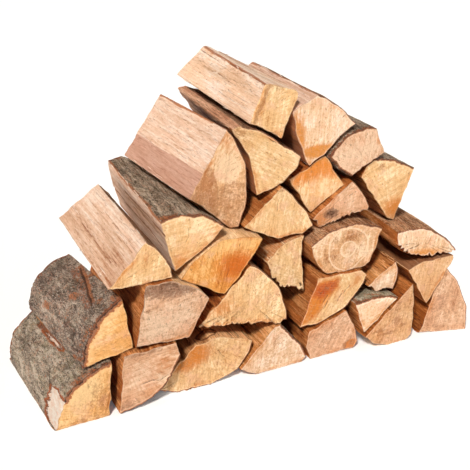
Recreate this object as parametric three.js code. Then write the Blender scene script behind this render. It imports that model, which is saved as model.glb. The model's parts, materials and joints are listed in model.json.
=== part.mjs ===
// Split firewood stacked by hand in a heap six rows high, as it is sold by the pallet.
// Millimetres. +X runs along the heap, +Y runs in along the logs from their front ends, +Z is up.
// The origin is on the ground, under the middle of the heap's box.

import * as THREE from 'three';

// How finely a log is cut into facets
const FACET = 21; // spacing of the points around a log
const LENGTHS = 6; // stretches between rings of points along a log

// The surface of a log, which swings to both sides of its outline
const SPLIT_RIDGE = 1.5; // height of the ridges of a split side, and depth of the hollows between them
const SPLIT_PITCH = 56; // distance around the log from ridge to ridge
const BARK_LUMP = 2; // height of the lumps of the bark, and depth of the hollows between them
const BARK_PITCH = 74; // distance around the log from lump to lump
const BARK_STRIDE = 120; // distance along the log from lump to lump
const SAW_SLOPE = 0.045; // most that a sawn end leans, as a slope

// Colours of the wood, as seen on the sawn ends, and of the bark that covers most of two logs
const WOOD = { pale: '#ecc9a0', peach: '#e3b284', amber: '#dc9c58', orange: '#cf7f3f', pink: '#dcaa8c' };
const BARK = '#857a66';

// Repeatable random numbers from 0 to 1, one series for each log
function series(seed) {
  let state = seed * 7919 + 17;
  return () => {
    state = (state * 16807) % 2147483647;
    return state / 2147483647;
  };
}

// How many facets each side of a section takes
function facetsOf(section) {
  return section.map((_, i) => Math.max(1, Math.round(sideOf(section, i).getLength() / FACET)));
}

// One side of a section, from its corner i to the next. The sections are drawn anticlockwise as seen from the
// front. Each corner is [x, z, bow]: bow says how far the side that starts there swells outward, as a share of
// its length. A side that swells is round bark; the others are split.
function sideOf(section, i) {
  const [x, z, bow = 0] = section[i];
  const start = new THREE.Vector2(x, z);
  const end = new THREE.Vector2(...section[(i + 1) % section.length]);
  const along = end.clone().sub(start);
  const outward = new THREE.Vector2(along.y, -along.x);
  const middle = start.clone().add(end).multiplyScalar(0.5).addScaledVector(outward, 2 * bow);
  return new THREE.QuadraticBezierCurve(start, middle, end);
}

// The points of a section's outline, each with its outward direction and its place on its side. Relief fades
// out towards the corners, and a side that lies on the ground has none.
function outlineOf(section, facets) {
  return section.flatMap(([, z, bow = 0], i) => {
    const side = sideOf(section, i);
    const grounded = z === 0 && side.v2.y === 0;
    return Array.from({ length: facets[i] }, (_, k) => {
      const share = k / facets[i];
      const tangent = side.getTangentAt(share);
      return {
        point: side.getPointAt(share),
        outward: new THREE.Vector2(tangent.y, -tangent.x),
        fade: grounded ? 0 : Math.sin(Math.PI * share),
        around: side.getLength() * share,
        round: bow > 0,
      };
    });
  });
}

// The section of a log's back end, where it isn't drawn: the front one moved by drift, turned by twist degrees
// and scaled by grow about its middle, or about the ground that it stands on
function backSection({ section, drift = [0, 0], twist = 0, grow = 1 }) {
  const corners = section.map(([x, z]) => new THREE.Vector2(x, z));
  const middle = new THREE.Box2().setFromPoints(corners).getCenter(new THREE.Vector2());
  if (corners.some(({ y }) => y === 0)) middle.y = 0;
  const turn = THREE.MathUtils.degToRad(twist);
  return corners.map((corner, i) => {
    corner.rotateAround(middle, turn).sub(middle).multiplyScalar(grow).add(middle);
    return [corner.x + drift[0], corner.y + drift[1], section[i][2]];
  });
}

// How high the surface stands above the outline at a point and a distance in from the front. A split side has
// ridges that follow the grain; bark has lumps.
function reliefAt({ fade, around, round }, inward, phase) {
  const turn = 2 * Math.PI;
  if (round) {
    const lump = Math.sin(turn * around / BARK_PITCH + phase) * Math.cos(turn * inward / BARK_STRIDE + 2 * phase);
    return BARK_LUMP * fade * lump;
  }
  const wander = 0.7 * Math.sin(turn * inward / 400 + phase);
  return SPLIT_RIDGE * fade * Math.cos(turn * around / SPLIT_PITCH + 3 * phase + wander);
}

// Joins rings of points into one closed skin, with the first and last ring capped flat
function skin(rings, cap) {
  const count = rings[0].length;
  const last = (rings.length - 1) * count;
  const faces = [];
  for (let r = 0; r < rings.length - 1; r += 1) {
    for (let k = 0; k < count; k += 1) {
      const a = r * count + k;
      const b = r * count + ((k + 1) % count);
      faces.push(a, b + count, b, a, a + count, b + count);
    }
  }
  cap.forEach(([a, b, c]) => {
    faces.push(a, b, c);
    faces.push(last + a, last + c, last + b);
  });
  const geometry = new THREE.BufferGeometry().setFromPoints(rings.flat());
  geometry.setIndex(faces);
  geometry.computeVertexNormals();
  return geometry;
}

// One log. Its front end has the given section and lies at depth front; its back end lies length further in.
// frontSlope and backSlope lean the saw cuts, as slopes along X and Z.
function logGeometry(spec, seed, standsOnGround) {
  const { section, back = backSection(spec), front, length, frontSlope = [0, 0], backSlope = [0, 0] } = spec;
  const random = series(seed);
  const phase = 2 * Math.PI * random();
  const lean = () => SAW_SLOPE * (2 * random() - 1);
  const frontCut = new THREE.Vector2(lean() + frontSlope[0], lean() + frontSlope[1]);
  const backCut = new THREE.Vector2(lean() + backSlope[0], lean() + backSlope[1]);
  const facets = facetsOf(section);
  const near = outlineOf(section, facets);
  const far = outlineOf(back, facets);
  const points = near.map(({ point }) => point);
  const middle = new THREE.Box2().setFromPoints(points).getCenter(new THREE.Vector2());
  const rings = Array.from({ length: LENGTHS + 1 }, (_, r) => {
    const t = r / LENGTHS;
    const cut = frontCut.clone().lerp(backCut, t);
    return near.map((at, k) => {
      const relief = reliefAt(at, length * t, phase);
      const outward = at.outward.clone().lerp(far[k].outward, t).normalize();
      const place = at.point.clone().lerp(far[k].point, t).addScaledVector(outward, relief);
      const inward = front + length * t + cut.dot(place.clone().sub(middle));
      return new THREE.Vector3(place.x, inward, standsOnGround ? Math.max(0, place.y) : place.y);
    });
  });
  return skin(rings, THREE.ShapeUtils.triangulateShape(points, []));
}

// The logs that stand on the ground, from left to right
const bottomRow = [
  { front: -5, length: 291, colour: BARK,
    section: [[-480, 0], [-369, 0], [-359, 120, 0.17]],
    back: [[-496, 0], [-373, 0], [-367, 121, 0.24]] },
  { front: -10, length: 300, drift: [3, 0], grow: 0.97, colour: WOOD.peach,
    section: [[-350, 0, 0.17], [-222, 100], [-231, 133], [-337, 129]] },
  { front: 12, length: 285, drift: [4, 0], grow: 0.97, colour: WOOD.pale,
    section: [[-260, 14, 0.11], [-92, 20, 0.08], [-56, 82], [-125, 105], [-180, 101], [-222, 60]] },
  { front: 6, length: 306, drift: [-3, 0], grow: 0.96, colour: WOOD.pale,
    section: [[-86, 22], [-48, 0], [60, 0], [71, 14, 0.04], [8, 103], [-9, 101]] },
  { front: 8, length: 288, drift: [2, 0], grow: 0.97, colour: WOOD.pink,
    section: [[69, 32], [81, 0], [188, 0], [197, 14, 0.06], [164, 101], [75, 70]] },
  { front: -8, length: 280, grow: 0.94, colour: WOOD.pale,
    section: [[202, 41], [284, 112, 0.09], [177, 119]] },
  { front: -12, length: 296, grow: 0.97, colour: WOOD.peach,
    section: [[202, 35], [226, 12], [262, 0], [316, 0], [325, 12], [325, 91], [317, 138]] },
  { front: -10, frontSlope: [-0.28, 0], length: 306, drift: [12, 0], grow: 0.97, colour: WOOD.pink,
    section: [[353, 0], [460, 0, 0.1], [410, 152], [386, 108], [362, 19]] },
];

const secondRow = [
  { front: 2, length: 272, colour: BARK,
    section: [[-414, 113], [-314, 135], [-331, 246, 0.14]],
    back: [[-446, 118], [-330, 132], [-352, 224, 0.2]] },
  { front: -10, length: 308, drift: [2, 0], grow: 0.96, colour: WOOD.pink,
    section: [[-312, 140], [-202, 134], [-159, 210], [-178, 233], [-233, 266], [-287, 267]] },
  { front: 10, length: 300, grow: 0.97, colour: WOOD.peach,
    section: [[-177, 139], [-69, 121], [8, 106], [20, 112, 0.14], [-60, 251]] },
  { front: 10, length: 290, grow: 0.97, colour: WOOD.orange,
    section: [[56, 80], [92, 80, 0.14], [210, 175], [197, 187], [94, 188]] },
  { front: 10, length: 276, grow: 0.96, colour: WOOD.pale,
    section: [[216, 144], [239, 128], [283, 121, 0.13], [284, 191]] },
  { front: -10, length: 298, grow: 0.96, colour: WOOD.peach,
    section: [[357, 80], [380, 112], [405, 150], [422, 175], [420, 184], [344, 184], [304, 171]] },
];

const thirdRow = [
  { front: -8, length: 330, drift: [8, 2], twist: -6, grow: 0.98, backSlope: [0, -0.3], colour: WOOD.amber,
    section: [[-360, 274], [-324, 269], [-231, 269, 0.1], [-281, 353]] },
  { front: 5, length: 296, grow: 0.96, colour: WOOD.orange,
    section: [[-119, 202], [-91, 230], [-54, 280], [-38, 308, 0.2], [-212, 255], [-188, 241]] },
  { front: 30, length: 268, grow: 0.96, colour: WOOD.peach,
    section: [[-17, 240], [-5, 201], [17, 175], [71, 157], [63, 239], [69, 283], [42, 279], [14, 267]] },
  { front: 15, length: 300, grow: 0.97, colour: WOOD.pink,
    section: [[75, 266, 0.1], [118, 192], [204, 188], [222, 195], [249, 270, 0.15]] },
  { front: -5, length: 305, drift: [14, 0], grow: 0.97, colour: WOOD.pale,
    section: [[273, 264], [275, 233], [291, 212], [339, 195], [401, 187], [429, 192, 0.15]] },
];

const fourthRow = [
  { front: 5, length: 366, colour: WOOD.amber,
    section: [[-222, 273], [-182, 299], [-146, 322], [-120, 350, 0.15], [-247, 380], [-238, 335]],
    back: [[-205, 270], [-178, 294], [-158, 313], [-143, 338, 0.15], [-226, 379], [-222, 335]] },
  { front: 30, length: 292, grow: 0.96, colour: WOOD.pale,
    section: [[-68, 327], [-47, 314], [13, 286], [66, 288], [91, 299, 0.06], [15, 397], [-29, 362]] },
  { front: 38, length: 262, grow: 0.96, colour: WOOD.pink,
    section: [[90, 311], [110, 286], [171, 302], [218, 305], [227, 312, 0.06], [184, 378], [143, 351]] },
  { front: 50, length: 280, drift: [-6, 0], grow: 0.96, colour: WOOD.pale,
    section: [[297, 266], [341, 380, 0.05], [245, 412], [222, 399], [211, 376], [255, 313], [282, 276]] },
];

const fifthRow = [
  { front: 35, length: 276, colour: WOOD.peach,
    section: [[-91, 325], [-73, 325, 0.14], [-101, 529], [-179, 402], [-152, 383], [-121, 354]],
    back: [[-110, 350], [-84, 345, 0.14], [-122, 528], [-208, 405], [-170, 396], [-138, 372]] },
  { front: 38, length: 322, drift: [20, 0], grow: 0.95, colour: WOOD.peach,
    section: [[-37, 384, 0.08], [50, 427], [61, 450], [-18, 508], [-69, 528], [-88, 524], [-50, 460]] },
  { front: 50, length: 270, grow: 0.95, colour: WOOD.orange,
    section: [[93, 320], [169, 369], [122, 438], [42, 400]] },
  { front: 42, length: 284, grow: 0.96, colour: WOOD.pink,
    section: [[124, 437], [150, 407], [182, 385], [259, 426], [234, 483, 0.15], [148, 462]] },
];

const topRow = [
  { front: 40, length: 346, backSlope: [0, -0.1], colour: WOOD.peach,
    section: [[-50, 529], [-17, 512], [17, 491], [30, 523], [44, 552], [52, 574], [46, 585], [-20, 603]],
    back: [[-55, 543], [-20, 519], [14, 498], [30, 523], [44, 551], [52, 572], [49, 583], [7, 601]] },
  { front: 42, length: 298, drift: [8, 0], grow: 0.96, colour: WOOD.amber,
    section: [[83, 424], [115, 443], [146, 473], [184, 500], [161, 524, 0.05], [97, 568], [42, 540], [57, 482]] },
];

const rows = {
  bottom_row_log: bottomRow,
  second_row_log: secondRow,
  third_row_log: thirdRow,
  fourth_row_log: fourthRow,
  fifth_row_log: fifthRow,
  top_row_log: topRow,
};

function buildHeap() {
  const heap = new THREE.Group();
  let seed = 1;
  for (const [rowName, specs] of Object.entries(rows)) {
    specs.forEach((spec, i) => {
      const geometry = logGeometry(spec, seed, specs === bottomRow);
      const material = new THREE.MeshStandardMaterial({ color: spec.colour, roughness: 0.85, metalness: 0 });
      const log = new THREE.Mesh(geometry, material);
      log.name = `${rowName}_${i + 1}`;
      heap.add(log);
      seed += 1;
    });
  }
  const middle = new THREE.Box3().setFromObject(heap).getCenter(new THREE.Vector3());
  heap.position.set(-middle.x, -middle.y, 0);
  return heap;
}

export default buildHeap();
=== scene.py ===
"""The looks of a heap of split oak firewood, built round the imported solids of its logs.

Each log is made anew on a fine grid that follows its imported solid: sawn ends with rings, rays, stains and
cracks, split sides with torn fibres, and bark on the sides that were the outside of the trunk.
"""

from __future__ import annotations

import json
import logging
import math
from dataclasses import dataclass, field
from enum import Enum, IntEnum
from typing import Callable, ClassVar

import bpy
import numpy as np
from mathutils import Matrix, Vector

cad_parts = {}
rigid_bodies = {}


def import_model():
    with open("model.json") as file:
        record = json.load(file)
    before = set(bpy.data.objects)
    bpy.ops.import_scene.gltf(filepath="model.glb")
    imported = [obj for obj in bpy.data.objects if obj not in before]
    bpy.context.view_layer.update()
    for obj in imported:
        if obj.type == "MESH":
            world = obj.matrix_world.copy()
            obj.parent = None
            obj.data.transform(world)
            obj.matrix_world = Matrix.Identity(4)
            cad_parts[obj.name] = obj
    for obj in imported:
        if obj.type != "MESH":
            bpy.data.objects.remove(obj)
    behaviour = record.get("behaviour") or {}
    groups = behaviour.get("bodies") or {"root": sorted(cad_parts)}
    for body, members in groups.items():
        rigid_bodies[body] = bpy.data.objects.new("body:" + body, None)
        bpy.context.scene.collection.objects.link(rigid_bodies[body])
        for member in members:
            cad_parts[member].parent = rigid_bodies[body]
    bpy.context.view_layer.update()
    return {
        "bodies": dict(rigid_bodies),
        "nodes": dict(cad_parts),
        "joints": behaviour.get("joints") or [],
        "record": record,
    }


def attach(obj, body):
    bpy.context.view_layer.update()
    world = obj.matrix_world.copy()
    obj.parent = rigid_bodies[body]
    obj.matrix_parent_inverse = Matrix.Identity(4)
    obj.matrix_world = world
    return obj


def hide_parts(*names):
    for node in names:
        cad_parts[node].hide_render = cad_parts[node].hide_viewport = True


log = logging.getLogger("firewood")

MM = 0.001
FAR = 99.0
WHOLE_LENGTH = (-10.0, 400.0)
Socket = bpy.types.NodeSocket


# Colours and small helpers


def colour(code: str) -> tuple[float, float, float, float]:
    """A colour as Blender's linear values.

    Args:
        code: the colour as six hexadecimal digits after a hash.

    Returns:
        Red, green, blue and one for alpha.
    """
    parts = [int(code[i : i + 2], 16) / 255 for i in (1, 3, 5)]
    linear = [p / 12.92 if p <= 0.04045 else ((p + 0.055) / 1.055) ** 2.4 for p in parts]
    return linear[0], linear[1], linear[2], 1.0


class Noise:
    """Smooth repeatable noise: random values on a cubic lattice, eased between the corners of each cell."""

    SIZE = 64

    def __init__(self, seed: int) -> None:
        """Fills the lattice with values from -1 to 1."""
        random = np.random.default_rng(seed)
        self.lattice = random.uniform(-1, 1, (self.SIZE,) * 3)

    def at(self, place: np.ndarray, across: float, along: float, shift: float = 0.0) -> np.ndarray:
        """The noise at each place, with cells stretched along the log.

        Args:
            place: points in millimetres, with x, y and z last.
            across: size of a cell across the log.
            along: size of a cell along the log.
            shift: moves to another part of the noise.

        Returns:
            One value from -1 to 1 for each point.
        """
        scaled = place / np.array([across, along, across]) + np.array([3.7, 1.3, 7.9]) * (1 + shift)
        cell = np.floor(scaled)
        share = scaled - cell
        share = share * share * (3 - 2 * share)
        low = cell.astype(int) % self.SIZE
        high = (low + 1) % self.SIZE
        total = np.zeros(place.shape[:-1])
        for corner in range(8):
            upper = [(corner >> axis) & 1 for axis in range(3)]
            index = [np.where(upper[axis], high[..., axis], low[..., axis]) for axis in range(3)]
            weight = np.prod([share[..., a] if upper[a] else 1 - share[..., a] for a in range(3)], axis=0)
            total = total + weight * self.lattice[tuple(index)]
        return total


NOISE = Noise(7)


def layered(place: np.ndarray, shift: float, *layers: tuple[float, float, float]) -> np.ndarray:
    """Layers of noise laid over each other, each with its strength and the two sizes of its cells."""
    total = np.zeros(place.shape[:-1])
    for number, (strength, across, along) in enumerate(layers):
        total = total + strength * NOISE.at(place, across, along, shift + number)
    return total


def vectors(*values: np.ndarray | float) -> np.ndarray:
    """Values side by side in a new last axis, each spread out to the same shape."""
    return np.stack(np.broadcast_arrays(*values), axis=-1)


def curve_through(knots: np.ndarray, marks: np.ndarray, wanted: np.ndarray) -> np.ndarray:
    """Points on smooth curves through knots: cubic pieces that have each knot's slope between its neighbours.

    Args:
        knots: points along the first axis, of any shape after it.
        marks: where each knot is along the curve, rising.
        wanted: where the new points are along the curve.

    Returns:
        The new points, along the first axis.
    """
    extra = (1,) * (knots.ndim - 1)
    gaps = np.diff(marks).reshape(-1, *extra)
    steps = np.diff(knots, axis=0) / gaps
    slopes = np.concatenate([steps[:1], (knots[2:] - knots[:-2]) / (gaps[1:] + gaps[:-1]), steps[-1:]])
    piece = np.clip(np.searchsorted(marks, wanted, side="right") - 1, 0, len(marks) - 2)
    span = gaps[piece]
    t = ((wanted - marks[piece]) / (marks[piece + 1] - marks[piece])).reshape(-1, *extra)
    return (
        (2 * t**3 - 3 * t**2 + 1) * knots[piece]
        + (t**3 - 2 * t**2 + t) * span * slopes[piece]
        + (3 * t**2 - 2 * t**3) * knots[piece + 1]
        + (t**3 - t**2) * span * slopes[piece + 1]
    )


def distance_to_line(points: np.ndarray, line: np.ndarray) -> np.ndarray:
    """How far points of a plane are from a broken line.

    Args:
        points: the points, with two values last.
        line: the line's corners.

    Returns:
        One distance for each point, to the nearest piece of the line.
    """
    best = np.full(points.shape[:-1], np.inf)
    for start, end in zip(line[:-1], line[1:]):
        step = end - start
        share = np.clip(((points - start) @ step) / max(step @ step, 1e-9), 0, 1)
        best = np.minimum(best, np.linalg.norm(points - start - share[..., None] * step, axis=-1))
    return best


def inside_by(points: np.ndarray, corners: np.ndarray) -> np.ndarray:
    """How far inside a closed outline points of a plane are, below zero outside it.

    Args:
        points: the points, with two values last.
        corners: the outline's corners.

    Returns:
        The distance to the outline, with a sign by counting the crossings of a level ray.
    """
    closed = np.concatenate([corners, corners[:1]])
    crossings = np.zeros(points.shape[:-1], int)
    for start, end in zip(closed[:-1], closed[1:]):
        spans = (start[1] > points[..., 1]) != (end[1] > points[..., 1])
        rise = end[1] - start[1] if end[1] != start[1] else 1e-9
        at = start[0] + (points[..., 1] - start[1]) * (end[0] - start[0]) / rise
        crossings += spans & (points[..., 0] < at)
    return np.where(crossings % 2 == 1, 1, -1) * distance_to_line(points, closed)


def put(name: str, data: bpy.types.ID) -> bpy.types.Object:
    """A new object with this data, put in the scene."""
    made = bpy.data.objects.new(name, data)
    bpy.context.scene.collection.objects.link(made)
    return made


# Finishes


class Graph:
    """The nodes of one material, made and joined in short calls."""

    def __init__(self, name: str) -> None:
        """Starts a material with only a shader and its output."""
        self.material = bpy.data.materials.new(name)
        self.material.use_nodes = True
        self.tree = self.material.node_tree
        self.tree.nodes.clear()
        self.shader = self.tree.nodes.new("ShaderNodeBsdfPrincipled")
        output = self.tree.nodes.new("ShaderNodeOutputMaterial")
        self.tree.links.new(self.shader.outputs[0], output.inputs[0])

    def feed(self, socket: Socket, value: object) -> None:
        """Joins a socket to another, or sets it to a number, a vector or the colour of a code."""
        if isinstance(value, bpy.types.NodeSocket):
            self.tree.links.new(value, socket)
        elif value is not None:
            socket.default_value = colour(value) if isinstance(value, str) else value

    def maths(self, kind: str, a: object, b: object = None, c: object = None) -> Socket:
        """One sum of up to three values, by Blender's name for it."""
        node = self.tree.nodes.new("ShaderNodeMath")
        node.operation = kind
        for socket, value in zip(node.inputs, (a, b, c)):
            self.feed(socket, value)
        return node.outputs[0]

    def vector(self, kind: str, a: object, b: object = None) -> Socket:
        """One sum of vectors, by Blender's name for it."""
        node = self.tree.nodes.new("ShaderNodeVectorMath")
        node.operation = kind
        self.feed(node.inputs[0], a)
        self.feed(node.inputs[1], b)
        return node.outputs["Value" if kind == "LENGTH" else "Vector"]

    def attribute(self, name: str) -> Socket:
        """A vector that the mesh carries under this name."""
        node = self.tree.nodes.new("ShaderNodeAttribute")
        node.attribute_name = name
        return node.outputs["Vector"]

    def parts(self, vector: Socket) -> list[Socket]:
        """The three values of a vector."""
        node = self.tree.nodes.new("ShaderNodeSeparateXYZ")
        self.feed(node.inputs[0], vector)
        return list(node.outputs)

    def joined(self, x: object, y: object, z: object) -> Socket:
        """A vector of three values."""
        node = self.tree.nodes.new("ShaderNodeCombineXYZ")
        for socket, value in zip(node.inputs, (x, y, z)):
            self.feed(socket, value)
        return node.outputs[0]

    def noise(self, place: Socket, scale: float, detail: float = 2.0, rough: float = 0.5) -> Socket:
        """Noise from 0 to 1 at a place, mostly near 0.5."""
        node = self.tree.nodes.new("ShaderNodeTexNoise")
        self.feed(node.inputs["Vector"], place)
        node.inputs["Scale"].default_value = scale
        node.inputs["Detail"].default_value = detail
        node.inputs["Roughness"].default_value = rough
        return node.outputs[0]

    def between(self, value: object, low: float, high: float) -> Socket:
        """Nought at low, one at high, and smooth between; low may be the greater."""
        node = self.tree.nodes.new("ShaderNodeMapRange")
        node.interpolation_type = "SMOOTHSTEP"
        turned = low > high
        self.feed(node.inputs["Value"], value)
        node.inputs["From Min"].default_value = min(low, high)
        node.inputs["From Max"].default_value = max(low, high)
        node.inputs["To Min"].default_value = 1.0 if turned else 0.0
        node.inputs["To Max"].default_value = 0.0 if turned else 1.0
        return node.outputs[0]

    def mix(self, share: object, a: object, b: object) -> Socket:
        """Colour a turning into colour b as share goes from 0 to 1."""
        node = self.tree.nodes.new("ShaderNodeMix")
        node.data_type = "RGBA"
        self.feed(node.inputs[0], share)
        self.feed(node.inputs[6], a)
        self.feed(node.inputs[7], b)
        return node.outputs[2]

    def over(self, base: Socket, share: Socket, strength: float, code: str) -> Socket:
        """A colour with another laid over it, as far as a share times a strength."""
        return self.mix(self.maths("MULTIPLY", share, strength), base, code)

    def shaded(self, base: Socket, amount: Socket, warm: float = 0.0) -> Socket:
        """A colour times an amount, which changes green and blue more by a share of warmth."""
        green = self.maths("POWER", amount, 1 + warm)
        blue = self.maths("POWER", amount, 1 + 2 * warm)
        return self.vector("MULTIPLY", base, self.joined(amount, green, blue))

    def swing(self, place: Socket, scale: float, detail: float, rough: float) -> Socket:
        """Noise that swings to both sides of nought by up to a half."""
        return self.maths("SUBTRACT", self.noise(place, scale, detail, rough), 0.5)

    def stretched(self, place: Socket, along: float) -> Socket:
        """A place with its length times a factor: below one, noise there runs along the log."""
        return self.vector("MULTIPLY", place, (1.0, along, 1.0))

    def scaled(self, x: Socket, fx: float, y: Socket, fy: float, z: Socket, fz: float) -> Socket:
        """A vector of three values, each times its factor."""
        return self.joined(*(self.maths("MULTIPLY", v, f) for v, f in ((x, fx), (y, fy), (z, fz))))

    def sum_of(self, total: object, *terms: tuple[Socket, float]) -> Socket:
        """A number or value plus each of some more values times its weight."""
        for value, weight in terms:
            total = self.maths("MULTIPLY_ADD", value, weight, total)
        return total

    def slanted(self, place: Socket, lean: float) -> Socket:
        """A place with its length leaning over as it goes across, so that stretched noise runs aslant."""
        x, y, z = self.parts(place)
        return self.joined(self.maths("MULTIPLY_ADD", y, lean, x), self.maths("MULTIPLY_ADD", x, -lean, y), z)

    def finish(self, base: Socket, rough: Socket, height: Socket, depth: float) -> bpy.types.Material:
        """Joins the colour, roughness and fine relief to the shader.

        Args:
            base: the colour.
            rough: the roughness.
            height: relief from 0 to 1.
            depth: how deep the relief is, in metres.

        Returns:
            The finished material.
        """
        bump = self.tree.nodes.new("ShaderNodeBump")
        bump.inputs["Strength"].default_value = 1.0
        bump.inputs["Distance"].default_value = depth
        self.feed(bump.inputs["Height"], height)
        self.feed(self.shader.inputs["Base Color"], base)
        self.feed(self.shader.inputs["Roughness"], rough)
        self.feed(self.shader.inputs["Normal"], bump.outputs[0])
        self.shader.inputs["Specular IOR Level"].default_value = 0.25
        return self.material


@dataclass(frozen=True)
class SawnEnd:
    """The end grain that a saw leaves: rings and rays round the pith, saw marks, stains and cracks.

    The mesh carries four vectors for it. "pith" is the place in millimetres from the pith, with the log's
    length as its second value. "marks" holds how strong orange stain, brown stain and bleaching are. "lines"
    holds how far the place is from a crack, in millimetres, and from the bark outside, as a share of the
    bark's thickness, and the direction of the saw. The last two values of "relief" are how far it is from the
    rim, in millimetres, and how strongly painted shade darkens the log. Circles are the radii of pale rings
    round the pith.
    """

    name: str
    pale: str
    mid: str
    deep: str
    stain: str
    blush: str = "#ecb592"
    brown: str = "#a8663a"
    crack_shade_and_mould: str = "#4a2412"
    ringed: float = 0.4
    ring_step: float = 0.26
    circles: tuple[float, ...] = ()
    rind: tuple[str, str, str] = ("#b9652f", "#a06c50", "#4a3026")

    def material(self) -> bpy.types.Material:
        """The finish as a material."""
        g = Graph(self.name)
        pith = g.attribute("pith")
        orange, brown, bleached = g.parts(g.attribute("marks"))
        crack, rind, turn = g.parts(g.attribute("lines"))
        _, rim, painted_shade = g.parts(g.attribute("relief"))
        x, _, z = g.parts(pith)
        radius = g.vector("LENGTH", g.joined(x, 0.0, z))
        toward_x, _, toward_z = g.parts(g.vector("NORMALIZE", g.joined(x, 0.0, z)))
        cosine = g.maths("COSINE", turn)
        sine = g.maths("SINE", turn)
        over = g.maths("ADD", g.maths("MULTIPLY", x, cosine), g.maths("MULTIPLY", z, sine))
        down = g.maths("SUBTRACT", g.maths("MULTIPLY", z, cosine), g.maths("MULTIPLY", x, sine))

        broad = g.swing(pith, 0.02, 2.0, 0.5)
        blush = g.noise(g.vector("ADD", pith, (310.0, 0.0, 170.0)), 0.028, 4.0, 0.65)
        mottle = g.swing(pith, 0.1, 4.0, 0.65)
        fine = g.swing(pith, 0.22, 4.0, 0.8)
        ring = g.swing(g.scaled(radius, self.ring_step, toward_x, 0.8, toward_z, 0.8), 1.0, 3.0, 0.65)
        ray = g.swing(g.scaled(toward_x, 18.0, toward_z, 18.0, radius, 0.025), 1.0, 4.0, 0.85)
        saw = g.swing(g.scaled(over, 0.17, down, 0.011, radius, 0.0), 1.0, 6.0, 0.85)

        grown = ((broad, 1.8), (mottle, 1.0), (ring, self.ringed))
        warmth = g.sum_of(0.42, *grown, (saw, 1.7), (ray, 1.2), (fine, 0.6), (bleached, -0.6))
        base = g.mix(g.between(warmth, -0.1, 0.5), self.pale, self.mid)
        base = g.mix(g.between(warmth, 0.5, 1.15), base, self.deep)
        base = g.over(base, g.between(blush, 0.5, 0.66), 0.5, self.blush)
        some_places = g.between(g.noise(pith, 0.016, 2.0, 0.5), 0.44, 0.66)
        near_rim = g.maths("MULTIPLY", g.between(rim, 15.0, 0.0), some_places)
        orange = g.maths("MAXIMUM", orange, g.maths("MULTIPLY", near_rim, 0.8))
        orange_share = g.between(g.sum_of(orange, (mottle, 0.8), (ray, 0.9), (saw, 0.9)), 0.1, 1.0)
        faded = g.between(g.sum_of(mottle, (fine, 1.0), (ray, 0.6), (saw, 0.6)), -0.1, 0.3)
        stain = g.mix(g.maths("MULTIPLY", faded, 0.32), self.stain, self.mid)
        base = g.mix(g.maths("MULTIPLY", orange_share, 0.95), base, stain)
        brown_share = g.between(g.sum_of(brown, (mottle, 1.3), (fine, 1.6), (saw, 0.7)), 0.2, 1.0)
        base = g.over(base, brown_share, 0.6, self.brown)
        mould = g.between(g.sum_of(brown, (fine, 4.0), (mottle, 1.5)), 1.25, 2.0)
        base = g.over(base, mould, 0.55, self.crack_shade_and_mould)
        light = g.sum_of(1.0, (fine, -0.5), (ray, -0.35), (saw, -0.5), (ring, -0.1 * self.ringed))
        # Painted shade: the second factor darkens the whole end.
        base = g.shaded(g.shaded(base, light, 0.2), g.maths("SUBTRACT", 1.0, painted_shade))
        # Painted highlight: a pale band along the rim of the end.
        painted_rim_highlight = g.between(g.sum_of(rim, (mottle, 9.0), (fine, 3.0)), 3.2, 0.6)
        base = g.over(base, painted_rim_highlight, 0.5, self.pale)
        # A dark line along parts of the rim: painted shadow at the edge, partly the edge's own darker burr.
        painted_rim_shadow = g.between(g.sum_of(rim, (fine, 3.0), (broad, 5.0)), 1.3, 0.2)
        base = g.over(base, painted_rim_shadow, 0.6, self.brown)

        band = g.maths("ABSOLUTE", ring)
        pale_ring = g.maths("MULTIPLY", g.between(band, 0.03, 0.0), 0.35 * self.ringed)
        base = g.mix(pale_ring, base, self.pale)
        for size in self.circles:
            away = g.sum_of(-size, (radius, 1.0), (broad, 0.45 * size), (mottle, 5.0))
            circle = g.between(g.maths("ABSOLUTE", away), 2.2, 0.8)
            base = g.over(base, circle, 0.75, self.pale)
        speck = g.between(g.noise(pith, 0.22, 3.0, 0.6), 0.66, 0.74)
        base = g.over(base, speck, 0.45, self.brown)
        check = g.noise(g.scaled(toward_x, 26.0, toward_z, 26.0, radius, 0.09), 1.0, 2.0, 0.6)
        base = g.over(base, g.between(check, 0.62, 0.72), 0.6, self.brown)
        base = g.over(base, g.between(saw, 0.15, 0.25), 0.4, self.brown)
        # Painted shade: the cracks are coloured dark inside.
        painted_crack_shade = g.sum_of(crack, (fine, 3.0))
        base = g.over(base, g.between(painted_crack_shade, 1.3, 0.1), 0.8, self.crack_shade_and_mould)
        bark = g.sum_of(rind, (mottle, 2.4), (fine, 1.2))
        base = g.over(base, g.between(bark, 3.4, 1.4), 0.55, self.pale)
        for code, inner, outer in zip(self.rind, (1.35, 1.0, 0.45), (0.95, 0.7, 0.15)):
            base = g.mix(g.between(bark, inner, outer), base, code)

        height = g.sum_of(0.5, (saw, 1.2), (fine, 0.9), (ray, 0.7), (mottle, 0.5))
        rough = g.sum_of(0.8, (fine, 0.2))
        return g.finish(base, rough, height, 0.0022)


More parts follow.
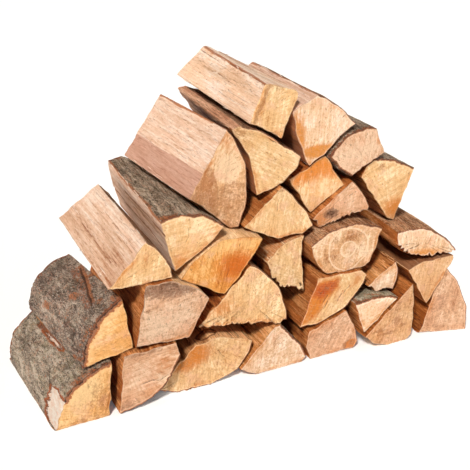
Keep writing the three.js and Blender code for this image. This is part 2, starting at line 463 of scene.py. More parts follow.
@dataclass(frozen=True)
class SplitSide:
    """Wood torn open along its fibres: streaks, specks and cracks that run along the log.

    It reads the same vectors as a sawn end. The first value of "relief" is how far the place stands out, in
    millimetres.
    """

    name: str
    pale: str
    mid: str
    deep: str
    stain: str = "#8a5a3c"
    speck: str = "#5e2e18"
    rust: tuple[str, str] = ("#86401c", "#c8743a")
    rough: float = 1.0

    def material(self) -> bpy.types.Material:
        """The finish as a material."""
        g = Graph(self.name)
        pith = g.attribute("pith")
        orange, brown, bleached = g.parts(g.attribute("marks"))
        crack, _, _ = g.parts(g.attribute("lines"))
        relief, _, _ = g.parts(g.attribute("relief"))

        broad = g.swing(g.stretched(pith, 0.4), 0.02, 3.0, 0.6)
        streak = g.swing(g.stretched(pith, 0.06), 0.09, 4.0, 0.65)
        fibre = g.swing(g.stretched(pith, 0.035), 0.24, 5.0, 0.8)
        grit = g.swing(g.stretched(pith, 0.3), 0.26, 4.0, 0.8)

        # Painted shade: the low places of the relief are coloured darker and warmer.
        painted_hollow_shade = g.between(relief, 0.4, -2.6)
        warmth = g.sum_of(
            0.36, (broad, 1.2), (streak, 1.1), (fibre, 1.5), (grit, 1.0), (painted_hollow_shade, 0.3), (bleached, -0.5)
        )
        base = g.mix(g.between(warmth, 0.0, 0.55), self.pale, self.mid)
        base = g.mix(g.between(warmth, 0.55, 1.15), base, self.deep)
        rusty = g.between(g.sum_of(orange, (fibre, 1.4), (grit, 0.8)), 0.2, 0.7)
        rust_share = g.between(g.sum_of(fibre, (grit, 0.6)), -0.2, 0.16)
        russet = g.mix(rust_share, self.rust[0], self.rust[1])
        base = g.mix(g.maths("MULTIPLY", rusty, 0.85), base, russet)
        dull = g.between(g.sum_of(brown, (fibre, 0.8)), 0.2, 0.7)
        base = g.over(base, dull, 0.85, self.stain)
        light = g.sum_of(1.0, (fibre, -0.5 * self.rough), (grit, -0.45 * self.rough))
        light = g.sum_of(light, (painted_hollow_shade, -0.3 * self.rough))
        base = g.shaded(base, light, 0.3)

        dash = g.noise(g.stretched(pith, 0.12), 0.32, 3.0, 0.7)
        base = g.over(base, g.between(dash, 0.61, 0.72), 0.7, self.speck)
        line = g.maths("ABSOLUTE", g.swing(g.stretched(pith, 0.02), 0.1, 3.0, 0.6))
        base = g.over(base, g.between(line, 0.014, 0.0), 0.5 * self.rough, self.speck)
        # Painted shade: the cracks are coloured dark inside, in the colour of the specks.
        painted_crack_shade = g.sum_of(crack, (fibre, 4.0))
        base = g.over(base, g.between(painted_crack_shade, 1.4, 0.2), 0.75, self.speck)

        height = g.sum_of(0.5, (fibre, 1.2), (streak, 0.6), (grit, 0.5))
        rough = g.sum_of(0.8, (fibre, 0.2))
        return g.finish(base, rough, height, 0.0028 * self.rough)


@dataclass(frozen=True)
class BarkSkin:
    """Bark: blotches, wrinkles and scratches, with raw wood where a piece is torn off.

    For it "marks" holds rust-coloured patches, how far the outer bark has flaked off, and bare slivers. The
    second value of "lines" is how far inside a torn place it is, in millimetres, below nought where the bark
    is whole.
    """

    name: str
    dark: str
    mid: str
    light: str
    moss: str
    rust: str = "#b0603a"
    inner: str = "#6e4630"
    raw: str = "#fff0e2"
    raw_shade: str = "#efc6aa"
    patches: str = "#cc7c4c"
    along: float = 0.5
    depth: float = 0.005

    def material(self) -> bpy.types.Material:
        """The finish as a material."""
        g = Graph(self.name)
        pith = g.attribute("pith")
        rusty, flaked, peeled = g.parts(g.attribute("marks"))
        crack, torn, _ = g.parts(g.attribute("lines"))
        relief, _, _ = g.parts(g.attribute("relief"))
        long = g.stretched(pith, self.along)
        blotch = g.swing(long, 0.024, 3.0, 0.6)
        patchy = g.swing(long, 0.07, 3.0, 0.6)
        grain = g.swing(g.slanted(long, 0.35), 0.15, 5.0, 0.8)
        grit = g.swing(pith, 0.3, 3.0, 0.8)
        wrinkle = g.maths("ABSOLUTE", g.swing(long, 0.07, 4.0, 0.75))
        vein = g.maths("ABSOLUTE", g.swing(g.vector("ADD", long, (90.0, 40.0, 10.0)), 0.055, 4.0, 0.7))
        scratch = g.noise(g.stretched(g.slanted(pith, 0.7), 0.08), 0.24, 3.0, 0.7)

        tone = g.sum_of(0.5, (blotch, 1.5), (patchy, 1.4), (grain, 3.0), (grit, 3.4))
        base = g.mix(g.between(tone, -0.1, 0.5), self.dark, self.mid)
        base = g.mix(g.between(tone, 0.5, 1.1), base, self.light)
        green = g.between(g.noise(pith, 0.03, 5.0, 0.75), 0.48, 0.62)
        base = g.over(base, green, 0.3, self.moss)
        warm = g.between(g.noise(g.vector("ADD", pith, (0.0, 70.0, 30.0)), 0.05, 5.0, 0.8), 0.54, 0.66)
        base = g.over(base, warm, 0.35, self.rust)
        base = g.over(base, g.between(scratch, 0.56, 0.64), 0.65, self.light)
        base = g.over(base, g.between(vein, 0.022, 0.004), 0.55, self.light)
        base = g.over(base, g.between(wrinkle, 0.03, 0.006), 0.7, self.dark)
        # Painted shade: the low places of the relief are darkened.
        painted_hollow_shade = g.between(relief, -0.3, -2.4)
        base = g.over(base, painted_hollow_shade, 0.6, self.dark)
        patch = g.sum_of(rusty, (grain, 2.8), (grit, 3.4), (blotch, 1.0))
        patch_share = g.between(g.sum_of(grit, (grain, 1.0)), -0.2, 0.2)
        russet = g.mix(patch_share, self.inner, self.patches)
        base = g.mix(g.maths("MULTIPLY", g.between(patch, 0.3, 0.9), 0.85), base, russet)
        worn = g.sum_of(flaked, (grain, 2.4), (grit, 2.6))
        under = g.mix(g.between(grit, -0.08, 0.12), self.inner, self.rust)
        base = g.mix(g.maths("MULTIPLY", g.between(worn, 0.3, 0.7), 0.85), base, under)
        # Painted shade: the cracks in the bark are coloured dark.
        painted_crack_shade = g.sum_of(crack, (grain, 5.0))
        base = g.over(base, g.between(painted_crack_shade, 2.4, 0.6), 0.8, self.dark)
        sliver = g.between(g.sum_of(peeled, (grain, 0.8)), 0.3, 0.7)
        base = g.mix(sliver, base, self.raw)

        edge = g.sum_of(torn, (grain, 16.0), (blotch, 8.0))
        fresh = g.maths("MULTIPLY", g.between(edge, -6.0, -3.0), g.between(patchy, -0.2, 0.0))
        base = g.mix(fresh, base, self.rust)
        base = g.over(base, g.between(edge, -2.4, -1.0), 0.8, self.inner)
        raw = g.mix(g.between(grain, -0.12, 0.2), self.raw, self.raw_shade)
        base = g.mix(g.between(edge, -0.6, 1.2), base, raw)

        height = g.sum_of(0.5, (grain, 1.3), (grit, 0.8), (wrinkle, 2.0), (scratch, 0.4))
        rough = g.sum_of(0.84, (grain, 0.2))
        return g.finish(base, rough, height, self.depth)


class Wood(Enum):
    """The colours of the sawn ends."""

    CREAM = SawnEnd("cream_end", pale="#ffe6cf", mid="#f2c9a2", deep="#da9a66", stain="#dc8a34")
    PALE = SawnEnd("pale_end", pale="#fddeb2", mid="#eebf88", deep="#d69050", stain="#d67c28")
    PEACH = SawnEnd("peach_end", pale="#f6d0a8", mid="#e7b280", deep="#cb824c", stain="#ce7830")
    AMBER = SawnEnd("amber_end", pale="#fbd198", mid="#efb06a", deep="#d2803a", stain="#ca7024")
    ORANGE = SawnEnd("orange_end", pale="#f8c07c", mid="#ea9e4c", deep="#d07324", stain="#d06410")
    HONEY = SawnEnd("honey_end", pale="#fcd6a8", mid="#f2b87c", deep="#dc8c40", stain="#e07c10")
    PINK = SawnEnd(
        "pink_end", pale="#f2cdac", mid="#e2ae88", deep="#c08056", stain="#d27e38", brown="#96684c"
    )
    SMOKED = SawnEnd(
        "smoked_end", pale="#f2cdac", mid="#e2ae88", deep="#c08056", stain="#d27e38", brown="#6a4638"
    )
    RUSTED = SawnEnd(
        "rusted_end", pale="#fddeb2", mid="#f0c28c", deep="#d8924c", stain="#da7c20", brown="#b83404"
    )
    RINGED = SawnEnd(
        "ringed_end", pale="#fbdcba", mid="#e4b284", deep="#bc7e4c", stain="#d4843a",
        ringed=1.1, ring_step=0.12, circles=(18.0, 48.0),
    )


class Cleft(Enum):
    """The colours of the split sides."""

    CREAM = SplitSide(
        "cream_cleft", pale="#ffe6d2", mid="#fcd2b0", deep="#e4a072", stain="#d7a88c", speck="#8e4620"
    )
    SALMON = SplitSide(
        "salmon_cleft", pale="#f5dac6", mid="#edc3a6", deep="#d09068", stain="#cb9882", speck="#8e4620"
    )
    TAN = SplitSide("tan_cleft", pale="#e19c60", mid="#bb6a30", deep="#682c10", speck="#461a08", rough=1.6)
    # Painted shade: brown split wood darkened further for sides that lie in the shadow of neighbouring logs.
    UMBER = SplitSide(
        "shaded_brown_cleft", pale="#cc7e42", mid="#a4581e", deep="#5c240c", stain="#6c3a20",
        speck="#38140a", rough=1.6,
    )
    TAWNY = SplitSide(
        "tawny_cleft", pale="#f6bc84", mid="#d98f50", deep="#86401c", speck="#5a2810", rough=1.8
    )
    # Grey-brown split wood, darker and greyer with painted shade of the log above.
    DUSK = SplitSide("dusk_cleft", pale="#ecbc9a", mid="#cc9270", deep="#824a2e", rough=1.4)


class Bark(Enum):
    """What covers the outside of a log."""

    GREY = BarkSkin("grey_bark", dark="#4a3a30", mid="#ab9681", light="#e0d2be", moss="#a0966e", along=0.35)
    ROAN = BarkSkin("roan_bark", dark="#3e2e27", mid="#8c7566", light="#dac8b4", moss="#86795e", along=0.35)
    # Grey-green bark with lichen, made paler than its own colour as painted light against the shade of the
    # logs above it.
    LICHEN = BarkSkin(
        "lichen_bark_painted_light", dark="#75664e", mid="#bfb294", light="#ece2cc", moss="#b4ac82", along=0.3
    )
    RUSSET = BarkSkin(
        "russet_bark", dark="#6a3a22", mid="#cc8a5c", light="#f0caa2", moss="#bc7c4c", along=0.12
    )
    BROWN = BarkSkin("brown_bark", dark="#3c2a20", mid="#a58b74", light="#e2ceb6", moss="#8e7a5c", along=0.12)
    THIN = BarkSkin("thin_bark", dark="#5c3822", mid="#9e6e50", light="#d4a984", moss="#8a7658", along=0.15)
    # Its dark stain colour is used for the painted shadow along the top of second_row_log_6.
    BARE = SplitSide("bare_round", pale="#f9d7ac", mid="#eaba86", deep="#b97c4c", stain="#7c4020")

    @property
    def thickness(self) -> float:
        """How thick the bark shows on a sawn end, in millimetres."""
        thick = {"GREY": 6.5, "ROAN": 7.5, "LICHEN": 3.0, "BROWN": 2.6, "RUSSET": 2.6, "THIN": 1.4}
        return thick[self.name]

    @property
    def rugged(self) -> bool:
        """Whether it is the old thick bark, with deep wrinkles."""
        return self in (Bark.GREY, Bark.ROAN, Bark.LICHEN)

    @property
    def flakes(self) -> bool:
        """Whether it flakes off along the rims of the ends."""
        return self.rugged or self is Bark.BROWN


# Logs


@dataclass(frozen=True)
class Blot:
    """A stain on the sawn ends, with its middle and size in shares of the end's box."""

    across: float
    up: float
    wide: float
    tall: float
    strength: float = 1.0
    crisp: float = 1.0

    def over(self, place: np.ndarray) -> np.ndarray:
        """How strong it is at places in shares of the box: most in the middle, falling to nought outside."""
        offset = (place - np.array([self.across, self.up])) / np.array([self.wide, self.tall])
        return self.strength * np.clip(self.crisp * (1.25 - np.linalg.norm(offset, axis=-1)), 0, 1)


@dataclass(frozen=True)
class Zone:
    """A stain on the sawn ends with a clear edge, through corners in shares of the end's box."""

    corners: tuple[tuple[float, float], ...]
    strength: float = 1.0
    soft: float = 0.05

    def over(self, place: np.ndarray) -> np.ndarray:
        """How strong it is at places in shares of the box."""
        inside = inside_by(place, np.array(self.corners))
        return self.strength * np.clip(0.5 + inside / self.soft, 0, 1)


@dataclass(frozen=True)
class Split:
    """A crack in the front end, through points in shares of the end's box."""

    points: tuple[tuple[float, float], ...]


class Stain(IntEnum):
    """What a trace leaves on a side: the first three are kept as strengths in the mesh's "marks"."""

    RUSTY = 0
    DULL = 1
    PALE = 2
    CRACK = 3


@dataclass(frozen=True)
class Trace:
    """A stain or crack on the side that faces nearest a direction, in degrees anticlockwise from the right.

    It lies round a point or a broken line, given in shares across the side and millimetres from the front.
    """

    toward: float
    points: tuple[tuple[float, float], ...]
    wide: float
    stain: Stain
    strength: float = 1.0
    soft: float = 4.0
    depth: float = 0.0


@dataclass(frozen=True)
class Tear:
    """A place where bark is torn off. Corners are shares across it and millimetres from the front."""

    DEPTH: ClassVar[float] = 3.5

    corners: tuple[tuple[float, float], ...]


def lengthwise(
    toward: float, share: float, wide: float, stain: Stain, *more: float, depth: float = 0.0
) -> Trace:
    """A trace that runs the whole length of a side, at a share across it."""
    front, back = WHOLE_LENGTH
    return Trace(toward, ((share, front), (share, back)), wide, stain, *more, depth=depth)


@dataclass
class Surface:
    """A grid of points over the sides of a log, with what each needs for relief and finish.

    Rows run from the front end to the back. Columns go round the log, anticlockwise as seen from the front.
    """

    points: np.ndarray
    outward: np.ndarray
    side: np.ndarray
    share: np.ndarray
    to_corner: np.ndarray
    inward: np.ndarray
    facing: np.ndarray
    length: float

    def toward(self, angle: float) -> int:
        """The number of the side that faces nearest a direction in degrees."""
        wanted = np.array([math.cos(math.radians(angle)), 0, math.sin(math.radians(angle))])
        return int(np.argmax(self.facing @ wanted))

    def width(self, side: int) -> float:
        """How wide a side is at the front end."""
        return float(np.linalg.norm(np.diff(self.points[0, self.side == side], axis=0), axis=-1).sum())


class Slot(IntEnum):
    """The places of a log's three finishes on its mesh."""

    END = 0
    SIDE = 1
    OUTSIDE = 2


class Skin:
    """A mesh while it is gathered: points with what they carry for the finishes, and faces with slots."""

    def __init__(self, painted_shade: float) -> None:
        """Starts with nothing but how strongly painted shade darkens the log below its finish."""
        self.painted_shade = painted_shade
        self.points: list[np.ndarray] = []
        self.carried: dict[str, list[np.ndarray]] = {"marks": [], "lines": [], "relief": []}
        self.faces: dict[int, list[np.ndarray]] = {3: [], 4: []}
        self.slots: dict[int, list[np.ndarray]] = {3: [], 4: []}
        self.used = 0

    def add(
        self,
        points: np.ndarray,
        marks: np.ndarray,
        lines: np.ndarray,
        relief: np.ndarray,
        rim: np.ndarray | float = 0.0,
    ) -> int:
        """Adds points with their stains, lines and relief.

        Args:
            points: places in millimetres.
            marks: three strengths for each.
            lines: how far each is from a crack and from bark, and the direction of the saw.
            relief: one height for each.
            rim: how far each is from the rim of a sawn end.

        Returns:
            The number of the first of them.
        """
        first = self.used
        self.points.append(points.reshape(-1, 3))
        self.carried["marks"].append(marks.reshape(-1, 3))
        self.carried["lines"].append(lines.reshape(-1, 3))
        both = vectors(relief, rim, self.painted_shade)
        self.carried["relief"].append(both.reshape(-1, 3))
        self.used += len(self.points[-1])
        return first

    def cover(self, faces: np.ndarray, slots: np.ndarray) -> None:
        """Adds faces of three or four corners, each with its finish."""
        size = faces.shape[-1]
        self.faces[size].append(faces.reshape(-1, size))
        self.slots[size].append(slots.reshape(-1))

    def finish(self, name: str, from_pith: Callable[[np.ndarray], np.ndarray]) -> bpy.types.Object:
        """Makes the object, at the origin.

        Args:
            name: its name.
            from_pith: turns places into places counted from the pith.

        Returns:
            The object.
        """
        points = np.concatenate(self.points)
        corners = np.concatenate([face.ravel() for size in (4, 3) for face in self.faces[size]])
        sizes = np.concatenate([np.full(len(face), size) for size in (4, 3) for face in self.faces[size]])
        slots = np.concatenate([slot for size in (4, 3) for slot in self.slots[size]])
        mesh = bpy.data.meshes.new(name)
        mesh.vertices.add(len(points))
        mesh.vertices.foreach_set("co", (points * MM).astype(np.float32).ravel())
        mesh.loops.add(len(corners))
        mesh.loops.foreach_set("vertex_index", corners.astype(np.int32))
        mesh.polygons.add(len(sizes))
        mesh.polygons.foreach_set("loop_start", (np.cumsum(sizes) - sizes).astype(np.int32))
        mesh.polygons.foreach_set("material_index", slots.astype(np.int32))
        mesh.update(calc_edges=True)
        mesh.validate()
        mesh.shade_smooth()
        values = {key: np.concatenate(parts) for key, parts in self.carried.items()}
        values["pith"] = from_pith(points)
        for key, value in values.items():
            attribute = mesh.attributes.new(key, "FLOAT_VECTOR", "POINT")
            attribute.data.foreach_set("vector", value.astype(np.float32).ravel())
        return put(name, mesh)


@dataclass
class Log:
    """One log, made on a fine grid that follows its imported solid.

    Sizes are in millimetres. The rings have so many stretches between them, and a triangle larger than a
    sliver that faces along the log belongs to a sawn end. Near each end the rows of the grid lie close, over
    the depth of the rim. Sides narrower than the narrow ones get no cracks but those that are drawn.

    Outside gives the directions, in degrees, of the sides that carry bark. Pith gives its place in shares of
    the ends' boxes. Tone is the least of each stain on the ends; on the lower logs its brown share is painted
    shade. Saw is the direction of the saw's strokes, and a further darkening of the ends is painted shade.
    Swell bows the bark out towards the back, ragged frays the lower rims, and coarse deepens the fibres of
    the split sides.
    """

    STRETCHES: ClassVar[int] = 6
    SLIVER: ClassVar[float] = 150.0
    RIM_ROWS: ClassVar[tuple[float, ...]] = (0.0, 0.8, 2.0, 3.6, 5.6)
    RIM: ClassVar[float] = 8.0
    NARROW: ClassVar[float] = 45.0
    ON_GROUND: ClassVar[float] = 0.01
    CRACK_DEPTH: ClassVar[float] = 2.6
    CRACK_SLOPE: ClassVar[float] = 2.8
    FLAKE_DEPTH: ClassVar[float] = 1.6

    node: str
    end: Wood
    cleft: Cleft
    bark: Bark
    outside: tuple[float, ...]
    pith: tuple[float, float]
    orange: tuple[Blot | Zone, ...] = ()
    brown: tuple[Blot | Zone, ...] = ()
    bleached: tuple[Blot | Zone, ...] = ()
    cracks: tuple[Split, ...] = ()
    traces: tuple[Trace, ...] = ()
    tears: tuple[Tear, ...] = ()
    # On the lower logs, the brown share of tone is painted shade.
    tone: tuple[float, float, float] = (0.0, 0.0, 0.0)
    saw: float = 80.0
    # How strongly painted shade darkens the sawn ends.
    painted_shade: float = 0.0
    swell: float = 0.0
    ragged: float = 0.15
    coarse: float = 1.0
    splinters: int = 34
    around_step: float = 2.6
    along_step: float = 3.0
    cap_step: float = 2.3
    corner_angle: float = 27.0
    seed: int = 1
    barked: set[int] = field(default_factory=set)

    def rings(self, solid: bpy.types.Object) -> np.ndarray:
        """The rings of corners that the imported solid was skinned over, found again in its loose triangles.

        Every ring lies in a plane, and the planes turn evenly from that of the front cut to that of the back
        one, so a point's place between the two cuts says which ring it is on. Within a ring the points are
        sorted by their direction from its middle, and each ring is turned so that its corners stand behind
        those of the one before.

        Args:
            solid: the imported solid, which is left as it is.

        Returns:
            Points in millimetres: rings, then corners anticlockwise as seen from the front, then x, y and z.
        """
        mesh = solid.data
        loose = np.empty(len(mesh.vertices) * 3)
        mesh.vertices.foreach_get("co", loose)
        corners = np.empty(len(mesh.loops), int)
        mesh.loops.foreach_get("vertex_index", corners)
        rounded = np.round(loose.reshape(-1, 3) / MM, 3)
        points, merged = np.unique(rounded, axis=0, return_inverse=True)
        faces = merged.reshape(-1)[corners].reshape(-1, 3)
        a, b, c = (points[faces[:, i]] for i in range(3))
        normal = np.cross(b - a, c - a)
        area = np.linalg.norm(normal, axis=1)
        facing = normal[:, 1] / np.maximum(area, 1e-9)
        terms = np.column_stack([points[:, 0], points[:, 2], np.ones(len(points))])
        cuts = []
        for sign in (-1, 1):
            ends = np.unique(faces[(sign * facing > 0.75) & (area > self.SLIVER)])
            plane, *_ = np.linalg.lstsq(terms[ends], points[ends, 1], rcond=None)
            cuts.append(terms @ plane)
        level = np.rint(self.STRETCHES * (points[:, 1] - cuts[0]) / (cuts[1] - cuts[0]))
        found: list[np.ndarray] = []
        for number in range(self.STRETCHES + 1):
            ring = points[level == number]
            offset = ring - (ring.min(axis=0) + ring.max(axis=0)) / 2
            ring = ring[np.argsort(np.arctan2(offset[:, 2], offset[:, 0]))]
            if found:
                shifts = [(np.roll(ring, turn, axis=0) - found[-1])[:, [0, 2]] for turn in range(len(ring))]
                ring = np.roll(ring, int(np.argmin([np.square(shift).sum() for shift in shifts])), axis=0)
            found.append(ring)
        return np.array(found)

    def surface(self, rings: np.ndarray) -> Surface:
        """Lays the fine grid through the rings: straight or smoothly round from corner to corner.

        Args:
            rings: the solid's rings of corners.

        Returns:
            The grid before its relief.
        """
        steps = np.roll(rings, -1, axis=1) - rings
        before = np.roll(steps, 1, axis=1)
        turn = np.arctan2(
            before[..., 0] * steps[..., 2] - before[..., 2] * steps[..., 0],
            before[..., 0] * steps[..., 0] + before[..., 2] * steps[..., 2],
        )
        sharp = np.flatnonzero(np.degrees(np.median(turn, axis=0)) > self.corner_angle)
        columns, sides, shares, reach = [], [], [], []
        count = rings.shape[1]
        for number, start in enumerate(sharp):
            stop = sharp[(number + 1) % len(sharp)]
            along = np.arange(start, stop + 1 if stop > start else stop + count + 1) % count
            knots = np.swapaxes(rings[:, along], 0, 1)
            gaps = np.linalg.norm(np.diff(knots, axis=0), axis=-1).mean(axis=1)
            marks = np.concatenate([[0], np.cumsum(gaps)])
            length = marks[-1]
            new = max(2, round(length / self.around_step))
            wanted = np.arange(new) / new * length
            columns.append(np.swapaxes(curve_through(knots, marks, wanted), 0, 1))
            sides.append(np.full(new, number))
            shares.append(np.arange(new) / new)
            reach.append(np.minimum(wanted, length - wanted))
        coarse = np.concatenate(columns, axis=1)
        length = np.linalg.norm(coarse[-1] - coarse[0], axis=-1).mean()
        close = np.array(self.RIM_ROWS)
        count = max(4, round((length - 2 * self.RIM) / self.along_step))
        middle = np.linspace(self.RIM, length - self.RIM, count)
        inward = np.concatenate([close, middle, length - close[::-1]])
        marks = np.linspace(0, length, len(rings))
        points = curve_through(coarse, marks, inward)
        around = np.roll(points, -1, axis=1) - np.roll(points, 1, axis=1)
        outward = vectors(around[..., 2], 0.0, -around[..., 0])
        outward /= np.linalg.norm(outward, axis=-1, keepdims=True)
        side = np.concatenate(sides)
        facing = np.array([outward[:, side == number].mean(axis=(0, 1)) for number in range(len(sharp))])
        share, to_corner = np.concatenate(shares), np.concatenate(reach)
        grid = Surface(points, outward, side, share, to_corner, inward, facing, length)
        self.barked = {grid.toward(angle) for angle in self.outside}
        return grid

    def from_pith(self, points: np.ndarray, rings: np.ndarray) -> np.ndarray:
        """Places counted from the pith, which runs from end to end with the log.

        Args:
            points: places in millimetres.
            rings: the solid's rings of corners.

        Returns:
            The places from the pith.
        """
        marks = rings[:, :, 1].mean(axis=1)
        low, high = rings.min(axis=1), rings.max(axis=1)
        spot = np.array([self.pith[0], 0, self.pith[1]])
        line = low + (high - low) * spot
        result = points.copy()
        for axis in (0, 2):
            result[..., axis] -= np.interp(points[..., 1], marks, line[:, axis])
        return result

    def torn(self, grid: Surface) -> np.ndarray:
        """How far inside torn bark each point of the grid is, in millimetres, far below nought elsewhere."""
        inside = np.full(grid.points.shape[:2], -FAR)
        on_round = np.isin(grid.side, list(self.barked))
        if not self.tears or not on_round.any():
            return inside
        width = grid.width(grid.toward(self.outside[0]))
        place = vectors(grid.share[None, :] * width, grid.inward[:, None])
        for tear in self.tears:
            corners = np.array(tear.corners) * np.array([width, 1.0])
            inside = np.where(on_round, np.maximum(inside, inside_by(place, corners)), inside)
        return inside

    def traced(self, grid: Surface) -> tuple[np.ndarray, np.ndarray, np.ndarray]:
        """What the traces leave on the sides.

        Besides those that are drawn, broad split sides have small cracks. A trace wanders a little about its
        line. A negative width leaves only its soft edge.

        Args:
            grid: the grid before its relief.

        Returns:
            Three strengths of stain, the distance to a crack, and how much cracks lower the side.
        """
        random = np.random.default_rng(100 + self.seed)
        traces = list(self.traces)
        for side in np.unique(grid.side):
            if side in self.barked or grid.width(side) < self.NARROW:
                continue
            angle = math.degrees(math.atan2(grid.facing[side, 2], grid.facing[side, 0]))
            for _ in range(random.integers(1, 4)):
                start = random.uniform(0, 0.7) * grid.length
                stop = start + random.uniform(0.12, 0.4) * grid.length
                share = random.uniform(0.1, 0.9)
                deep = random.uniform(0.8, 1.6)
                traces.append(Trace(angle, ((share, start), (share, stop)), 0.0, Stain.CRACK, depth=deep))
        shape = grid.points.shape[:2]
        marks, nearest, lowered = np.zeros((*shape, 3)), np.full(shape, FAR), np.zeros(shape)
        line = vectors(0.0, grid.inward, 0.0)
        for number, trace in enumerate(traces):
            side = grid.toward(trace.toward)
            width = grid.width(side)
            shift = self.seed + max(0, number - len(self.traces) + 1)
            wander = 3.0 * NOISE.at(line, 1, 55, shift) + 1.2 * NOISE.at(line, 1, 14, shift)
            across = (grid.share * width)[None, :] + wander[:, None]
            place = vectors(across, grid.inward[:, None])
            corners = np.array((*trace.points, trace.points[-1])) * np.array([width, 1.0])
            away = np.where(grid.side == side, distance_to_line(place, corners), FAR)
            shape_across = np.clip(1 - (away - trace.wide) / self.CRACK_SLOPE, 0, 1)
            lowered = np.maximum(lowered, trace.depth * shape_across)
            if trace.stain is Stain.CRACK:
                nearest = np.minimum(nearest, away - trace.wide)
            else:
                share = trace.strength * np.clip(0.5 + (trace.wide - away) / trace.soft, 0, 1)
                marks[..., trace.stain] = np.maximum(marks[..., trace.stain], share)
        return marks, nearest, lowered

    def relief(self, grid: Surface, place: np.ndarray, torn: np.ndarray, lowered: np.ndarray) -> np.ndarray:
        """How far each point stands out from the smooth grid, in millimetres.

        Split sides carry fibres and steps that run along the log. Bark carries lumps, wrinkles and cracks.
        All fade at the corners, which are worn back unevenly, and the rims of the ends are chipped.

        Args:
            grid: the grid before its relief.
            place: the grid's points from the pith.
            torn: how far inside torn bark each point is.
            lowered: how deep the cracks are.

        Returns:
            One height for each point.
        """
        shift = self.seed * 0.37
        on_round = np.isin(grid.side, list(self.barked))
        split = layered(place, shift, (0.7, 27, 320), (0.6, 12, 160), (0.5, 5.5, 60))
        split = self.coarse * (split + 0.6 * np.tanh(7 * NOISE.at(place, 19, 420, shift + 3)))
        if self.bark.rugged:
            skin = layered(place, shift, (1.6, 30, 45), (0.9, 11, 13), (0.6, 5.5, 6))
            skin = skin - 1.3 * np.clip(1 - 7 * np.abs(NOISE.at(place, 16, 40, shift + 3)), 0, 1)
        elif self.bark in (Bark.BROWN, Bark.RUSSET):
            skin = layered(place, shift, (1.3, 14, 90), (1.1, 6, 45))
            skin = skin + 0.5 * np.tanh(8 * NOISE.at(place, 11, 60, shift + 2))
        elif self.bark is Bark.THIN:
            skin = layered(place, shift, (0.6, 18, 60), (0.5, 7, 40))
            skin = skin + 0.4 * np.tanh(8 * NOISE.at(place, 16, 60, shift + 2))
        else:
            skin = layered(place, shift, (0.6, 18, 200), (0.4, 7, 90))
        skin = skin - Tear.DEPTH * np.clip(0.5 + torn / 2.5, 0, 1)
        if self.bark.flakes:
            skin = skin - self.FLAKE_DEPTH * self.flaked(grid)
        skin = skin + self.swell * grid.inward[:, None] / grid.length * np.sin(math.pi * grid.share)
        height = np.where(on_round, skin, split) * (0.25 + 0.75 * np.clip(grid.to_corner / 6, 0, 1)) - lowered
        edge = vectors(9.0 * grid.side[None, :], grid.inward[:, None], 0.0)
        wear = 0.2 + 1.3 * np.clip(NOISE.at(edge, 1, 26, shift), 0, 1)
        wear = wear + 0.7 * np.abs(NOISE.at(edge, 1, 6, shift))
        height = height - wear * np.clip(1 - grid.to_corner / 3.4, 0, 1)
        from_end = np.minimum(grid.inward, grid.length - grid.inward)[:, None]
        chips = 0.15 + 1.2 * np.clip(NOISE.at(place, 7, 9, shift + 5) - 0.2, 0, 1)
        height = height - chips * np.exp(-from_end / 1.4)
        low = np.clip(-grid.outward[..., 2], 0, 1)
        frayed = 12 * np.abs(NOISE.at(place, 6, 14, shift + 6)) + 6 * np.abs(NOISE.at(place, 2.8, 9, shift))
        return height - self.ragged * frayed * low * np.exp(-from_end / 7)

    def flaked(self, grid: Surface) -> np.ndarray:
        """Where bark has flaked off along the rims of both ends: one at the rim, nought further in."""
        around = 30.0 * grid.side + 40 * grid.share
        line = vectors(around, 0.0, 9.0 * self.seed)
        wide = 3.5 + 8 * NOISE.at(line, 2.6, 1) + 5 * NOISE.at(line, 0.9, 1, 2.0)
        from_end = np.minimum(grid.inward, grid.length - grid.inward)[:, None]
        return np.clip((wide[None, :] - from_end) / 3 + 0.5, 0, 1)

    def saw_turn(self) -> float:
        """The direction across the saw's strokes, in radians."""
        return math.radians(self.saw + 90)

    def cap(
        self, rim: np.ndarray, plane_rim: np.ndarray, rings: np.ndarray, front: bool
    ) -> tuple[np.ndarray, np.ndarray, np.ndarray]:
        """One sawn end: the rim drawn in towards the middle in even steps, with saw marks and cracks.

        Args:
            rim: the outline's points.
            plane_rim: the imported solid's ring at this end, which gives the saw's plane.
            rings: the solid's rings of corners.
            front: whether it is the front end.

        Returns:
            The points inside the rim by steps, the middle point, and each one's distance to a crack.
        """
        outline = rim[:, [0, 2]]
        following = np.roll(outline, -1, axis=0)
        cross = outline[:, 0] * following[:, 1] - following[:, 0] * outline[:, 1]
        both = outline + following
        middle = np.array([(both[:, axis] * cross).sum() for axis in (0, 1)]) / (3 * cross.sum())
        terms = np.column_stack([plane_rim[:, 0], plane_rim[:, 2], np.ones(len(plane_rim))])
        slope, *_ = np.linalg.lstsq(terms, plane_rim[:, 1], rcond=None)
        far = np.linalg.norm(outline - middle, axis=1).max()
        steps = max(6, round(far / self.cap_step))
        scale = np.linspace(1, 0, steps + 1)[1:-1]
        flat = middle + scale[:, None, None] * (outline - middle)
        plane = flat @ slope[:2] + slope[2]
        lift = (rim[:, 1] - outline @ slope[:2] - slope[2])[None, :] * scale[:, None] ** 8
        points = vectors(flat[..., 0], plane + lift, flat[..., 1])
        place = self.from_pith(points, rings)
        turn = self.saw_turn()
        over = place[..., 0] * math.cos(turn) + place[..., 2] * math.sin(turn)
        down = place[..., 2] * math.cos(turn) - place[..., 0] * math.sin(turn)
        marks = vectors(over, down, 10.0 * self.seed)
        height = 0.55 * NOISE.at(marks, 6, 90, self.seed) + 0.5 * NOISE.at(place, 8, 8, self.seed)
        height = height + 0.9 * NOISE.at(place, 38, 38, self.seed + 2)
        crack = self.crack_distance(place, points, rings, front)
        height = height - self.CRACK_DEPTH * np.clip(1 - crack / self.CRACK_DEPTH, 0, 1)
